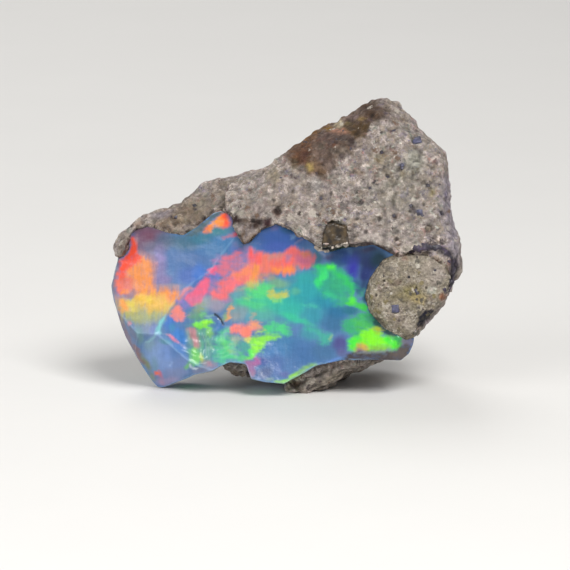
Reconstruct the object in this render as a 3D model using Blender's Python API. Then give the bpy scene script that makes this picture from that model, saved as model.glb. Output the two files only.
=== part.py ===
"""Rough Ethiopian opal: a broken piece of volcanic host rock with a seam of precious opal across its face.

Everything is drawn in millimetres in a drawing frame that is square to the stone's face: x runs to the
right, y into the stone and h up the face. The finished pieces are then leaned back by LEAN, cut level
where the stone rests, and turned into metres with the origin at the bottom centre of the whole stone.
"""

import math
from dataclasses import dataclass

import bmesh
import bpy
from mathutils import Matrix, Vector, noise

# Driving dimensions, in millimetres unless a name says otherwise.
LEAN = math.radians(12)  # how far the face leans back when the stone rests
NEAR = -14.0  # in front of everything
FAR = 22.0  # behind everything
GAP = 0.15  # clearance between pieces that touch
BACK_GAP = 0.22  # clearance behind the opal, where the two slopes meet at an angle
SHORTEST = 0.01  # edges shorter than this are closed up
CREASE = math.radians(25)  # edges sharper than this stay crisp
LARGE_BALL = 12.0  # a cutter of this radius or more is made of finer facets
ROCK_CELL = 0.95  # size of the facets on the granular rock
CLAST_CELL = 0.6
ROCK_LUMPS = ((0.5, 5.5), (0.3, 2.2))  # height and width of the rock's unevenness
CLAST_LUMPS = ((0.12, 2.0), (0.06, 0.9))
METRES = 0.001

# The line where the opal's face meets the rock above it, from the left edge to the rounded clast.
CONTACT = [
    (-17.4, 14.0), (-16.8, 14.1), (-16.3, 14.9), (-16.2, 16.3), (-15.7, 17.0), (-14.3, 17.2),
    (-12.1, 16.5), (-10.6, 16.3), (-9.2, 17.1), (-7.5, 18.5), (-6.7, 18.8), (-5.6, 18.2),
    (-5.0, 16.4), (-4.4, 15.2), (-3.6, 15.6), (-2.8, 16.6), (-1.1, 17.4), (0.5, 16.8),
    (2.6, 15.5), (3.4, 14.8), (4.6, 14.5), (5.9, 14.9), (9.0, 15.3), (11.2, 14.2),
    (12.4, 11.0), (12.8, 7.5), (13.2, 5.6),
]  # fmt: skip

# The rest of the opal's outline, on from the contact line: round the right corner, over the lump of rock
# below, along the bottom, over the small heel of rock, and up the left edge.
RIGHT_CORNER = [(13.1, 5.0), (12.7, 4.0), (11.8, 3.3)]
OVER_LUMP = [(9.0, 3.4), (5.7, 3.3), (3.1, 2.8), (1.4, 1.8), (-0.2, 0.9)]
BOTTOM_EDGE = [(-2.2, 1.1), (-3.6, 1.4)]
OVER_HEEL = [(-4.2, 2.9), (-5.8, 3.1), (-6.9, 2.6)]
LEFT_EDGE = [
    (-7.6, 2.2), (-9.5, 1.8), (-11.9, 0.7), (-13.0, 0.35), (-13.5, 0.6), (-14.4, 1.9), (-15.9, 4.4),
    (-16.7, 5.8), (-17.4, 8.1), (-17.8, 9.4), (-18.1, 11.0),
]  # fmt: skip
OPAL_FACE = CONTACT + RIGHT_CORNER + OVER_LUMP + BOTTOM_EDGE + OVER_HEEL + LEFT_EDGE

# Where the opal is at the stone's own edge, its pocket in the rock runs clear of the stone.
CLEAR_RIGHT = [(15.2, 4.8), (15.2, 3.0)]
CLEAR_BOTTOM = [(-0.9, -4.0), (-3.4, -4.0)]
CLEAR_LEFT = [(-8.4, -4.0), (-22.0, -4.0), (-22.0, 14.2)]

# The rock is made of blocks that grew into one another. Each has its own outline across the face.
MAIN_BLOCK = [
    (-6.2, 21.7), (-4.6, 22.5), (-2.2, 23.3), (1.5, 25.7), (5.0, 28.5), (8.2, 30.3), (9.9, 31.2),
    (11.1, 30.5), (13.2, 27.8), (14.7, 26.7), (15.6, 26.3), (16.2, 25.0), (16.7, 22.5), (17.2, 18.5),
    (18.0, 13.2), (17.8, 12.2), (16.0, 8.9), (15.0, 7.9), (14.3, 6.4), (13.4, 5.6), (9.0, 4.4),
    (2.0, 4.2), (-4.0, 5.5), (-8.0, 9.0), (-8.6, 14.0), (-7.2, 18.8),
]  # fmt: skip
LEFT_LOBE = [
    (-17.6, 14.2), (-17.8, 15.9), (-16.4, 18.3), (-14.6, 19.0), (-11.0, 19.9), (-8.3, 22.1),
    (-6.9, 22.4), (-5.8, 21.6), (-5.0, 17.0), (-4.5, 9.0), (-8.0, 5.6), (-13.0, 5.2), (-16.0, 9.0),
]  # fmt: skip
LOWER_LUMP = [
    (9.6, 3.4), (7.3, 2.2), (5.1, 1.0), (3.4, 0.1), (2.6, -3.0), (0.4, -3.0), (-0.3, 0.7),
    (-1.0, 2.6), (0.5, 7.0), (9.0, 7.0),
]  # fmt: skip
HEEL = [(-6.9, 2.8), (-6.1, 2.5), (-4.9, 2.1), (-3.7, 1.5), (-3.2, 4.0), (-4.5, 7.5), (-7.5, 7.5)]
BELLY = [
    (-11.0, 5.0), (-8.0, 3.2), (-4.0, 1.9), (-0.5, 1.2), (4.0, 1.6), (8.5, 3.4), (12.2, 4.6), (12.8, 8.0),
    (-10.0, 8.0),
]  # fmt: skip

CLAST_FACE = [
    (14.4, 14.3), (12.5, 14.4), (10.2, 13.5), (8.8, 11.6), (8.4, 9.9), (8.9, 8.4), (10.3, 6.9),
    (12.3, 5.7), (13.1, 6.0), (13.9, 7.4), (15.0, 8.3), (16.1, 9.9), (16.9, 11.6), (16.4, 13.2),
]  # fmt: skip
CLAST_DEPTHS = ((-3.5, 0.93), (-3.1, 1.0), (-1.2, 1.02), (0.6, 0.86), (1.9, 0.5))  # y and share of the face
CLAST_CLEARANCE = 0.2  # its skin is uneven, so it stands a little further off than the other pieces

CRYSTAL_CENTRE = (5.1, -1.8, 16.5)
CRYSTAL_SIZE = (2.2, 3.2, 2.1)
CRYSTAL_TURN = math.radians(9)
CRYSTAL_BEVEL = 0.35
CRYSTAL_MOUTH = 6.0  # how far its pocket runs out through the front


# Each piece's mineral, its colour (linear) and its roughness, in the order the pieces are made.
MINERALS = (
    ("welded_tuff", (0.33, 0.28, 0.25), 0.9),
    ("precious_opal", (0.16, 0.28, 0.45), 0.15),
    ("clast_tuff", (0.30, 0.27, 0.21), 0.9),
    ("smoky_feldspar", (0.10, 0.07, 0.035), 0.25),
)


@dataclass(frozen=True)
class Facet:
    """A fracture plane: it passes y = depth at (x, h), and y grows by slope_x and slope_h along x and h."""

    x: float
    h: float
    depth: float
    slope_x: float
    slope_h: float

    def point(self, shift=0.0):
        return Vector((self.x, self.depth + shift, self.h))

    def over(self, x, h):
        """The point of the plane that lies behind (x, h)."""
        depth = self.depth + self.slope_x * (x - self.x) + self.slope_h * (h - self.h)
        return Vector((x, depth, h))

    def facing_front(self):
        return Vector((self.slope_x, -1.0, self.slope_h)).normalized()


OPAL_FRONT = (
    Facet(-5.0, 8.0, -2.8, -0.02, 0.05),  # the broad middle face
    Facet(-13.1, 6.0, -2.6, -0.40, 0.36),  # falls away to the left edge
    Facet(-13.1, 6.0, -2.6, -0.45, -0.78),  # falls away to the lower tip
    Facet(-16.2, 5.4, 0.2, -1.6, -0.75),  # narrow band down the left edge
    Facet(-9.0, 2.9, -2.3, -0.35, -1.0),  # narrow band along the bottom
    Facet(-14.8, 15.6, 1.1, -0.55, 0.95),  # rounds over into the upper left corner
    Facet(11.6, 4.6, -2.8, 1.0, -0.5),  # rounds over into the lower right corner
)
OPAL_BACK = (
    Facet(-17.0, 10.0, 6.4, -0.19, 0.0),
    Facet(0.0, 10.0, 8.0, -0.05, -0.88),
    Facet(-13.0, 0.4, 1.9, 0.0, 2.2),  # the underside, which rises towards the back
    Facet(-17.6, 9.6, 3.0, 1.3, 0.5),  # thins the left end
    Facet(-15.0, 3.4, 3.3, 1.0, 1.0),  # thins the edge above the lower tip
    Facet(12.2, 4.2, 0.6, -0.9, 1.3),  # thins the lower right corner
)
MIDDLE, _, TIP_FALL, *_ = OPAL_FRONT
# Hollows left by shell-shaped fractures: the facet each is in, its centre, and how deep and half how wide.
OPAL_HOLLOWS = (
    (MIDDLE, (1.6, 9.6), 1.3, 10.6),  # the broad shell
    (MIDDLE, (-8.0, 7.0), 1.25, 5.8),  # its steeper left end, which makes the curved ridge
    (MIDDLE, (-8.3, 5.4), 1.62, 4.4),  # the chip inside that
    (TIP_FALL, (-13.6, 2.3), 0.35, 4.3),
)

MAIN_FRONT = (
    Facet(5.0, 16.0, -3.2, -0.02, 0.30),
    Facet(16.2, 20.0, -2.1, 2.0, 0.58),  # narrow side facet down the right edge
    Facet(4.0, 24.8, -0.5, -0.5, 1.05),  # shoulder of the long upper slope
    Facet(11.4, 27.2, 0.3, 0.8, 1.1),  # right of the peak
    Facet(16.4, 9.6, -2.9, 1.5, -1.0),  # lower right corner
    Facet(14.0, 10.0, -3.3, 0.15, -0.05),  # level with the clast
)
MAIN_BACK = (
    Facet(0.0, 10.0, 13.4, -0.05, -0.25),
    Facet(10.0, 12.0, 11.2, -0.75, -0.1),
    Facet(2.0, 22.0, 8.6, 0.25, -0.75),
    Facet(0.0, 5.0, 11.0, 0.1, 1.3),
    Facet(-6.0, 12.0, 11.6, 0.7, -0.1),
)
# Chips broken from the back and sides of the rock: centre of the ball that fits each, and its radius.
ROCK_CHIPS = (
    ((-3.0, 17.6, 17.0), 6.5),
    ((7.5, 18.5, 14.5), 7.5),
    ((1.0, 19.5, 6.5), 7.5),
    ((18.6, 8.5, 19.5), 5.2),
    ((-12.5, 13.6, 14.0), 5.5),
    ((-3.2, 8.0, 26.6), 4.4),
)
LOBE_FRONT = (Facet(-10.8, 16.3, -0.4, -0.35, 0.84),)
LOBE_BACK = (
    Facet(-8.0, 12.0, 9.6, 0.5, -0.3),
    Facet(-12.0, 8.0, 7.6, 0.4, 0.9),
)
LUMP_FRONT = (Facet(3.0, 0.2, -0.2, 0.06, -0.75),)
LUMP_BACK = (Facet(6.0, 3.0, 7.5, -0.9, 0.6), Facet(-1.0, 3.0, 8.0, 0.8, 0.5))
HEEL_FRONT = (Facet(-5.5, 2.6, -0.5, 0.1, -0.8),)
HEEL_BACK = (Facet(-5.5, 3.0, 5.0, 0.0, 0.7),)
BELLY_FRONT = (Facet(0.0, 3.0, 0.6, -0.1, -0.4),)
BELLY_BACK = (Facet(0.0, 2.0, 4.6, -0.25, 1.1), Facet(-6.0, 4.0, 6.0, 0.6, 1.2))


def face_outwards(bm):
    """Turns every face of a closed mesh outwards."""
    bmesh.ops.recalc_face_normals(bm, faces=bm.faces)
    if bm.calc_volume(signed=True) < 0:
        bmesh.ops.reverse_faces(bm, faces=bm.faces)


def mesh_object(name, bm):
    """Links a bmesh to the scene as an object and frees it."""
    face_outwards(bm)
    mesh = bpy.data.meshes.new(name)
    bm.to_mesh(mesh)
    bm.free()
    made = bpy.data.objects.new(name, mesh)
    bpy.context.scene.collection.objects.link(made)
    return made


def prism(outline, near=NEAR, far=FAR):
    """A block whose outline across the face is given, from depth near to depth far."""
    bm = bmesh.new()
    face = bm.faces.new([bm.verts.new((x, near, h)) for x, h in outline])
    grown = bmesh.ops.extrude_face_region(bm, geom=[face])["geom"]
    moved = [v for v in grown if isinstance(v, bmesh.types.BMVert)]
    bmesh.ops.translate(bm, verts=moved, vec=(0.0, far - near, 0.0))
    return bm


def slice_off(bm, point, outward):
    """Removes what lies on the outward side of a plane and closes the cut with a flat face."""
    everything = bm.verts[:] + bm.edges[:] + bm.faces[:]
    cut = bmesh.ops.bisect_plane(
        bm, geom=everything, dist=1e-5, plane_co=point, plane_no=outward, clear_outer=True
    )["geom_cut"]
    edges = [e for e in cut if isinstance(e, bmesh.types.BMEdge) and e.is_boundary]
    if edges:
        bmesh.ops.triangle_fill(bm, edges=edges, use_beauty=True)
    face_outwards(bm)


def block(name, outline, front, back, shift=0.0):
    """A prism broken to shape by its front and back facets. shift moves the back facets further in."""
    bm = prism(outline)
    for facet in front:
        slice_off(bm, facet.point(), facet.facing_front())
    for facet in back:
        slice_off(bm, facet.point(shift), -facet.facing_front())
    bmesh.ops.triangulate(bm, faces=bm.faces)
    return mesh_object(name, bm)


def widened(outline, by):
    """The outline moved outwards by a small distance, each point along the mean of its two sides' normals."""
    area = sum(a[0] * b[1] - b[0] * a[1] for a, b in zip(outline, outline[1:] + outline[:1]))
    side = 1.0 if area > 0 else -1.0
    moved = []
    for before, here, after in zip(outline[-1:] + outline[:-1], outline, outline[1:] + outline[:1]):
        run = Vector((after[0] - before[0], after[1] - before[1])).normalized()
        moved.append((here[0] + side * by * run.y, here[1] - side * by * run.x))
    return moved


def pocket_outline():
    """The opal's outline with its clearance where it meets rock, and well outside the stone elsewhere."""
    wide = widened(OPAL_FACE, GAP)
    lump = len(CONTACT) + len(RIGHT_CORNER)
    heel = lump + len(OVER_LUMP) + len(BOTTOM_EDGE)
    over_lump = wide[lump : lump + len(OVER_LUMP)]
    over_heel = wide[heel : heel + len(OVER_HEEL)]
    return wide[: len(CONTACT)] + CLEAR_RIGHT + over_lump + CLEAR_BOTTOM + over_heel + CLEAR_LEFT


def finished(obj):
    """The object with its modifiers made into plain mesh."""
    bpy.context.view_layer.update()
    graph = bpy.context.evaluated_depsgraph_get()
    mesh = bpy.data.meshes.new_from_object(obj.evaluated_get(graph))
    obj.modifiers.clear()
    obj.data = mesh
    return obj


def even_facets(obj, cell):
    """Gives the object one skin of small even facets."""
    remesh = obj.modifiers.new("even_facets", "REMESH")
    remesh.mode = "VOXEL"
    remesh.voxel_size = cell
    return finished(obj)


def fuse(name, blocks, cell):
    """Grows overlapping blocks into one solid."""
    bm = bmesh.new()
    for piece in blocks:
        bm.from_mesh(piece.data)
        bpy.data.objects.remove(piece)
    return even_facets(mesh_object(name, bm), cell)


def roughen(obj, lumps):
    """Moves each point along its normal by layers of smooth noise."""
    mesh = obj.data
    normals = [v.normal.copy() for v in mesh.vertices]
    for vertex, normal in zip(mesh.vertices, normals):
        for height, width in lumps:
            vertex.co += normal * height * noise.noise(vertex.co / width)


def carve(obj, cutter):
    """Cuts one solid by another and removes the cutter."""
    boolean = obj.modifiers.new("carve", "BOOLEAN")
    boolean.operation = "DIFFERENCE"
    boolean.solver = "EXACT"
    boolean.object = cutter
    finished(obj)
    bpy.data.objects.remove(cutter)
    return obj


def ball(centre, radius):
    """A cutter for a shell-shaped fracture, with facets about as large as the rock's own."""
    bm = bmesh.new()
    bmesh.ops.create_icosphere(bm, subdivisions=6 if radius > LARGE_BALL else 4, radius=radius)
    bmesh.ops.translate(bm, verts=bm.verts, vec=centre)
    return mesh_object("ball", bm)


def hollow_cutter(facet, at, sink, half_width):
    """A ball that leaves a hollow of the given depth and half width in a facet."""
    radius = (half_width**2 + sink**2) / (2 * sink)
    return ball(facet.over(*at) + facet.facing_front() * (radius - sink), radius)


def clast_solid(name, depths, extra=0.0):
    """The rounded clast as a stack of outlines, or with extra its pocket."""
    outline = [Vector((x, h)) for x, h in CLAST_FACE]
    middle = sum(outline, Vector((0.0, 0.0))) / len(outline)
    reach = sum((p - middle).length for p in outline) / len(outline)
    bm = bmesh.new()
    rings = []
    for y, share in depths:
        corners = [middle + (p - middle) * (share + extra / reach) for p in outline]
        rings.append([bm.verts.new((c.x, y, c.y)) for c in corners])
    for ring, following in zip(rings, rings[1:]):
        for i in range(len(ring)):
            j = (i + 1) % len(ring)
            bm.faces.new((ring[i], ring[j], following[j], following[i]))
    bm.faces.new(rings[0])
    bm.faces.new(rings[-1])
    return mesh_object(name, bm)


def clast_pocket():
    """The clast's own form with clearance, run out through the front."""
    *before, (deepest, last_share) = CLAST_DEPTHS[1:]
    depths = [(NEAR, 1.0), *before, (deepest + CLAST_CLEARANCE, last_share)]
    return clast_solid("clast_pocket", depths, CLAST_CLEARANCE)


def crystal_solid(name, extra=0.0, forward=0.0):
    """The blocky brown crystal, or with extra its pocket, carried forward so that it opens at the face."""
    bm = bmesh.new()
    bmesh.ops.create_cube(bm, size=1.0)
    size = [s + 2 * extra for s in CRYSTAL_SIZE]
    size[1] += forward
    bmesh.ops.scale(bm, verts=bm.verts, vec=size)
    if not extra:
        bmesh.ops.bevel(
            bm, geom=bm.edges[:], offset=CRYSTAL_BEVEL, segments=1, profile=0.5, affect="EDGES", material=-1
        )
    bmesh.ops.rotate(bm, verts=bm.verts, cent=(0, 0, 0), matrix=Matrix.Rotation(CRYSTAL_TURN, 3, "Y"))
    x, y, h = CRYSTAL_CENTRE
    bmesh.ops.translate(bm, verts=bm.verts, vec=(x, y - forward / 2, h))
    return mesh_object(name, bm)


def make_opal():
    """The opal seam: smooth fracture faces in front, hollowed like a shell, and a wedge behind."""
    opal = block("opal", OPAL_FACE, OPAL_FRONT, OPAL_BACK)
    for facet, at, sink, half_width in OPAL_HOLLOWS:
        carve(opal, hollow_cutter(facet, at, sink, half_width))
    carve(opal, clast_pocket())
    return opal


def make_host_rock():
    """The volcanic host rock: blocks grown together, with pockets for the opal, the clast and the crystal."""
    rock = fuse(
        "host_rock",
        [
            block("main", MAIN_BLOCK, MAIN_FRONT, MAIN_BACK),
            block("lobe", LEFT_LOBE, LOBE_FRONT, LOBE_BACK),
            block("lump", LOWER_LUMP, LUMP_FRONT, LUMP_BACK),
            block("heel", HEEL, HEEL_FRONT, HEEL_BACK),
            block("belly", BELLY, BELLY_FRONT, BELLY_BACK),
        ],
        ROCK_CELL,
    )
    for centre, radius in ROCK_CHIPS:
        carve(rock, ball(centre, radius))
    even_facets(rock, ROCK_CELL)
    roughen(rock, ROCK_LUMPS)
    carve(rock, block("opal_pocket", pocket_outline(), (), OPAL_BACK, shift=BACK_GAP))
    carve(rock, clast_pocket())
    carve(rock, crystal_solid("crystal_pocket", GAP, forward=CRYSTAL_MOUTH))
    return rock


def make_clast():
    """The rounded pebble of older rock caught in the seam, broken flat at the face."""
    clast = fuse("rounded_clast", [clast_solid("clast", CLAST_DEPTHS)], CLAST_CELL)
    roughen(clast, CLAST_LUMPS)
    return clast


def keep_largest(bm):
    """Drops crumbs that a cut has separated from the main body."""
    left = set(bm.verts)
    bodies = []
    while left:
        body, edge = set(), {left.pop()}
        while edge:
            body |= edge
            edge = {e.other_vert(v) for v in edge for e in v.link_edges} - body
        left -= body
        bodies.append(body)
    bodies.sort(key=len)
    crumbs = [v for body in bodies[:-1] for v in body]
    bmesh.ops.delete(bm, geom=crumbs, context="VERTS")
    face_outwards(bm)


def finish_mineral(name, colour, roughness):
    """A plain material in the mineral's own colour."""
    made = bpy.data.materials.new(name)
    made.use_nodes = True
    shader = made.node_tree.nodes["Principled BSDF"]
    shader.inputs["Base Color"].default_value = (*colour, 1.0)
    shader.inputs["Roughness"].default_value = roughness
    shader.inputs["Metallic"].default_value = 0.0
    return made


def rest_on_floor(pieces):
    """Leans the stone back, cuts it level at its lowest contact and moves it to its origin, in metres."""
    for piece in pieces:
        piece.data.transform(Matrix.Rotation(-LEAN, 4, "X"))
        bm = bmesh.new()
        bm.from_mesh(piece.data)
        slice_off(bm, Vector((0.0, 0.0, 0.0)), Vector((0.0, 0.0, -1.0)))
        bmesh.ops.dissolve_degenerate(bm, dist=SHORTEST, edges=bm.edges)
        keep_largest(bm)
        bm.to_mesh(piece.data)
        bm.free()
    corners = [v.co for piece in pieces for v in piece.data.vertices]
    low = Vector([min(c[i] for c in corners) for i in range(3)])
    high = Vector([max(c[i] for c in corners) for i in range(3)])
    centre = (low + high) / 2
    home = Matrix.Translation((-centre.x, -centre.y, -low.z))
    for piece in pieces:
        piece.data.transform(Matrix.Scale(METRES, 4) @ home)
        piece.data.set_sharp_from_angle(angle=CREASE)


def main():
    for old in list(bpy.data.objects):
        bpy.data.objects.remove(old)
    pieces = [make_host_rock(), make_opal(), make_clast(), crystal_solid("smoky_crystal")]
    rest_on_floor(pieces)
    for piece, (mineral, colour, roughness) in zip(pieces, MINERALS):
        piece.data.materials.append(finish_mineral(mineral, colour, roughness))


main()
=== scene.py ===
"""Rough Ethiopian opal: a broken piece of grey-beige tuff with a seam of precious opal across its face.

All sizes are millimetres in the stone's drawing frame, which is square to its face: x to the right, y into
the stone and h up the face. StoneFrame turns them into metres in the row frame.
"""

import logging
import math
import random
from dataclasses import dataclass, field
from enum import Enum
from typing import Any, Iterable, Sequence

import bmesh
import bpy
import numpy as np
from mathutils import Matrix, Vector, noise
from mathutils.bvhtree import BVHTree


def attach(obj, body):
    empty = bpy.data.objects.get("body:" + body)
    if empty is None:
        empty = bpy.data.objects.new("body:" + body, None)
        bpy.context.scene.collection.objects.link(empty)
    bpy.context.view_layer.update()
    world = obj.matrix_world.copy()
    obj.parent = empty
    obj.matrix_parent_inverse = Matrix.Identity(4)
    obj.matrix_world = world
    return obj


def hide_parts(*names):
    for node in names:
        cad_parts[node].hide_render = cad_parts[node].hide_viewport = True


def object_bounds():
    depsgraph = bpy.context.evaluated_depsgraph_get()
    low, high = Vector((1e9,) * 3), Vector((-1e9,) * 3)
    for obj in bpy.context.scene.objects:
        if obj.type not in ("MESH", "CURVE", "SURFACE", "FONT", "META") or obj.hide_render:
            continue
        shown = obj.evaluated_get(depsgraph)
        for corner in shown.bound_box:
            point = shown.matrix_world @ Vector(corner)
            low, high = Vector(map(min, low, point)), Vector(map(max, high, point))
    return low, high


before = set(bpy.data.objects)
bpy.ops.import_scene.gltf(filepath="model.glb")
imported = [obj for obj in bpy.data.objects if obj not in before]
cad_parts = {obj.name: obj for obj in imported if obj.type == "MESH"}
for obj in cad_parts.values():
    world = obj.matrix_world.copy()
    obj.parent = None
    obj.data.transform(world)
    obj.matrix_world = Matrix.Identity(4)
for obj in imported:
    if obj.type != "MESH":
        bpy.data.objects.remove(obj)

LOG = logging.getLogger("rough_opal")
CAD_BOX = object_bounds()
FRONT = Vector((0.0, -1.0, 0.0))  # out of the face, in the drawing frame
INWARD = Vector((0.0, 1.0, 0.0))
AHEAD = 40.0  # rays into the face start this far in front of it, in millimetres
NOISE_SEED = 9  # noise vectors start from the clock unless a seed is set


class Slot(Enum):
    """The record's material slots."""

    TUFF = "welded_tuff"
    OPAL = "precious_opal"
    CLAST = "clast_tuff"
    FELDSPAR = "smoky_feldspar"


class Torn(Enum):
    """How the edge of a patch of colour is torn."""

    SOFT = "soft"
    RIBBED = "ribbed"
    WISPY = "wispy"
    CRUMBLED = "crumbled"


SOFT, RIBBED = Torn.SOFT, Torn.RIBBED  # short names for the tables of flashes


def blank_material(name: str) -> bpy.types.Material:
    """Makes a material with an empty node tree.

    Args:
        name: The material's name.

    Returns:
        The material.
    """
    made = bpy.data.materials.new(name)
    made.use_nodes = True
    made.node_tree.nodes.clear()
    return made


def linear(colour: str) -> tuple[float, float, float, float]:
    """Turns an sRGB hex colour into linear light.

    Args:
        colour: The colour as "#rrggbb".

    Returns:
        Red, green, blue and an alpha of 1.
    """
    parts = [int(colour[i : i + 2], 16) / 255 for i in (1, 3, 5)]
    light = [c / 12.92 if c <= 0.04045 else ((c + 0.055) / 1.055) ** 2.4 for c in parts]
    return (light[0], light[1], light[2], 1.0)


def add_node(
    tree: bpy.types.NodeTree, kind: str, links: dict[Any, Any], out: Any = 0, **settings: Any
) -> bpy.types.NodeSocket | None:
    """Adds a shader node with its settings, input values and links.

    Args:
        tree: The material's node tree.
        kind: The node's type, without the ShaderNode that starts it.
        links: For an input's name or index, the value or the output that it takes.
        out: Name or index of the output to give back.
        **settings: The node's own properties.

    Returns:
        The chosen output of the new node, or None where the node has no outputs.
    """
    made = tree.nodes.new("ShaderNode" + kind)
    for name, value in settings.items():
        setattr(made, name, value)
    for key, value in links.items():
        if isinstance(value, bpy.types.NodeSocket):
            tree.links.new(value, made.inputs[key])
        else:
            made.inputs[key].default_value = value
    return made.outputs[out] if len(made.outputs) else None


def eased(share: float | np.ndarray) -> float | np.ndarray:
    """Rounds off both ends of a straight rise from 0 to 1."""
    return share * share * (3.0 - 2.0 * share)


def smooth_fall(distance: float, inner: float, outer: float) -> float:
    """Gives 1 within inner, 0 past outer, and a smooth fall between them."""
    return eased(min(1.0, max(0.0, (outer - distance) / (outer - inner))))


def line_distance(point: Vector, line: Sequence[tuple[float, float]]) -> float:
    """Distance across the face from a point to a line drawn through several points.

    Args:
        point: A point in the drawing frame.
        line: The line's points as (x, h).

    Returns:
        The shortest distance in millimetres, depth left out.
    """
    at = Vector((point.x, point.z))
    nearest = 1e9
    for start, end in zip(line, line[1:]):
        a, b = Vector(start), Vector(end)
        share = min(1.0, max(0.0, (at - a).dot(b - a) / (b - a).length_squared))
        nearest = min(nearest, (at - a - (b - a) * share).length)
    return nearest


def front_hit(trees: Sequence[BVHTree], x: float, h: float) -> tuple[Vector, Vector] | None:
    """Finds the surface that shows from in front at one place on the face.

    Args:
        trees: Search trees of the skins.
        x: The place across the face.
        h: The place up the face.

    Returns:
        The point and its normal, or None where nothing is hit.
    """
    hits = [tree.ray_cast(Vector((x, -AHEAD, h)), INWARD) for tree in trees]
    hits = [hit for hit in hits if hit[0] is not None]
    return min(hits, key=lambda hit: hit[3])[:2] if hits else None


@dataclass(frozen=True)
class StoneFrame:
    """Where the drawing frame lies in the row frame: the face leans back and the stone stands on its foot."""

    lean: float = math.radians(12)
    home: tuple[float, float, float] = (-0.04022, -6.26393, 0.0)
    millimetre: float = 0.001

    def to_row(self) -> Matrix:
        """The matrix from drawing millimetres to row metres."""
        place = Matrix.Translation(self.home) @ Matrix.Rotation(-self.lean, 4, "X")
        return Matrix.Scale(self.millimetre, 4) @ place

    def to_drawing(self) -> Matrix:
        """The matrix from row metres to drawing millimetres."""
        return self.to_row().inverted()

    def millimetres(self, tree: bpy.types.NodeTree) -> bpy.types.NodeSocket:
        """Adds the nodes that give a surface its place in the drawing frame.

        Args:
            tree: The material's node tree.

        Returns:
            The vector of drawing millimetres.
        """
        turn = Matrix.Rotation(self.lean, 4, "X")
        place = turn @ -Vector(self.home)
        at = add_node(tree, "TexCoord", {}, "Object")
        scale = (1.0 / self.millimetre,) * 3
        steps = {"Vector": at, "Scale": scale, "Rotation": (self.lean, 0.0, 0.0), "Location": place}
        return add_node(tree, "Mapping", steps, vector_type="POINT")


STONE = StoneFrame()


@dataclass(frozen=True)
class Relief:
    """One layer of unevenness: how high it stands, how wide its lumps are and how many octaves it has."""

    height: float
    width: float
    octaves: int = 1
    offset: float = 0.0

    def at(self, point: Vector) -> float:
        """Height of the layer at a point, in millimetres.

        Args:
            point: A point in the drawing frame.

        Returns:
            A height between about -height and +height.
        """
        where = point / self.width + Vector((self.offset, self.offset * 0.7, -self.offset))
        return self.height * noise.fractal(where, 0.85, 2.1, self.octaves)


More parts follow.
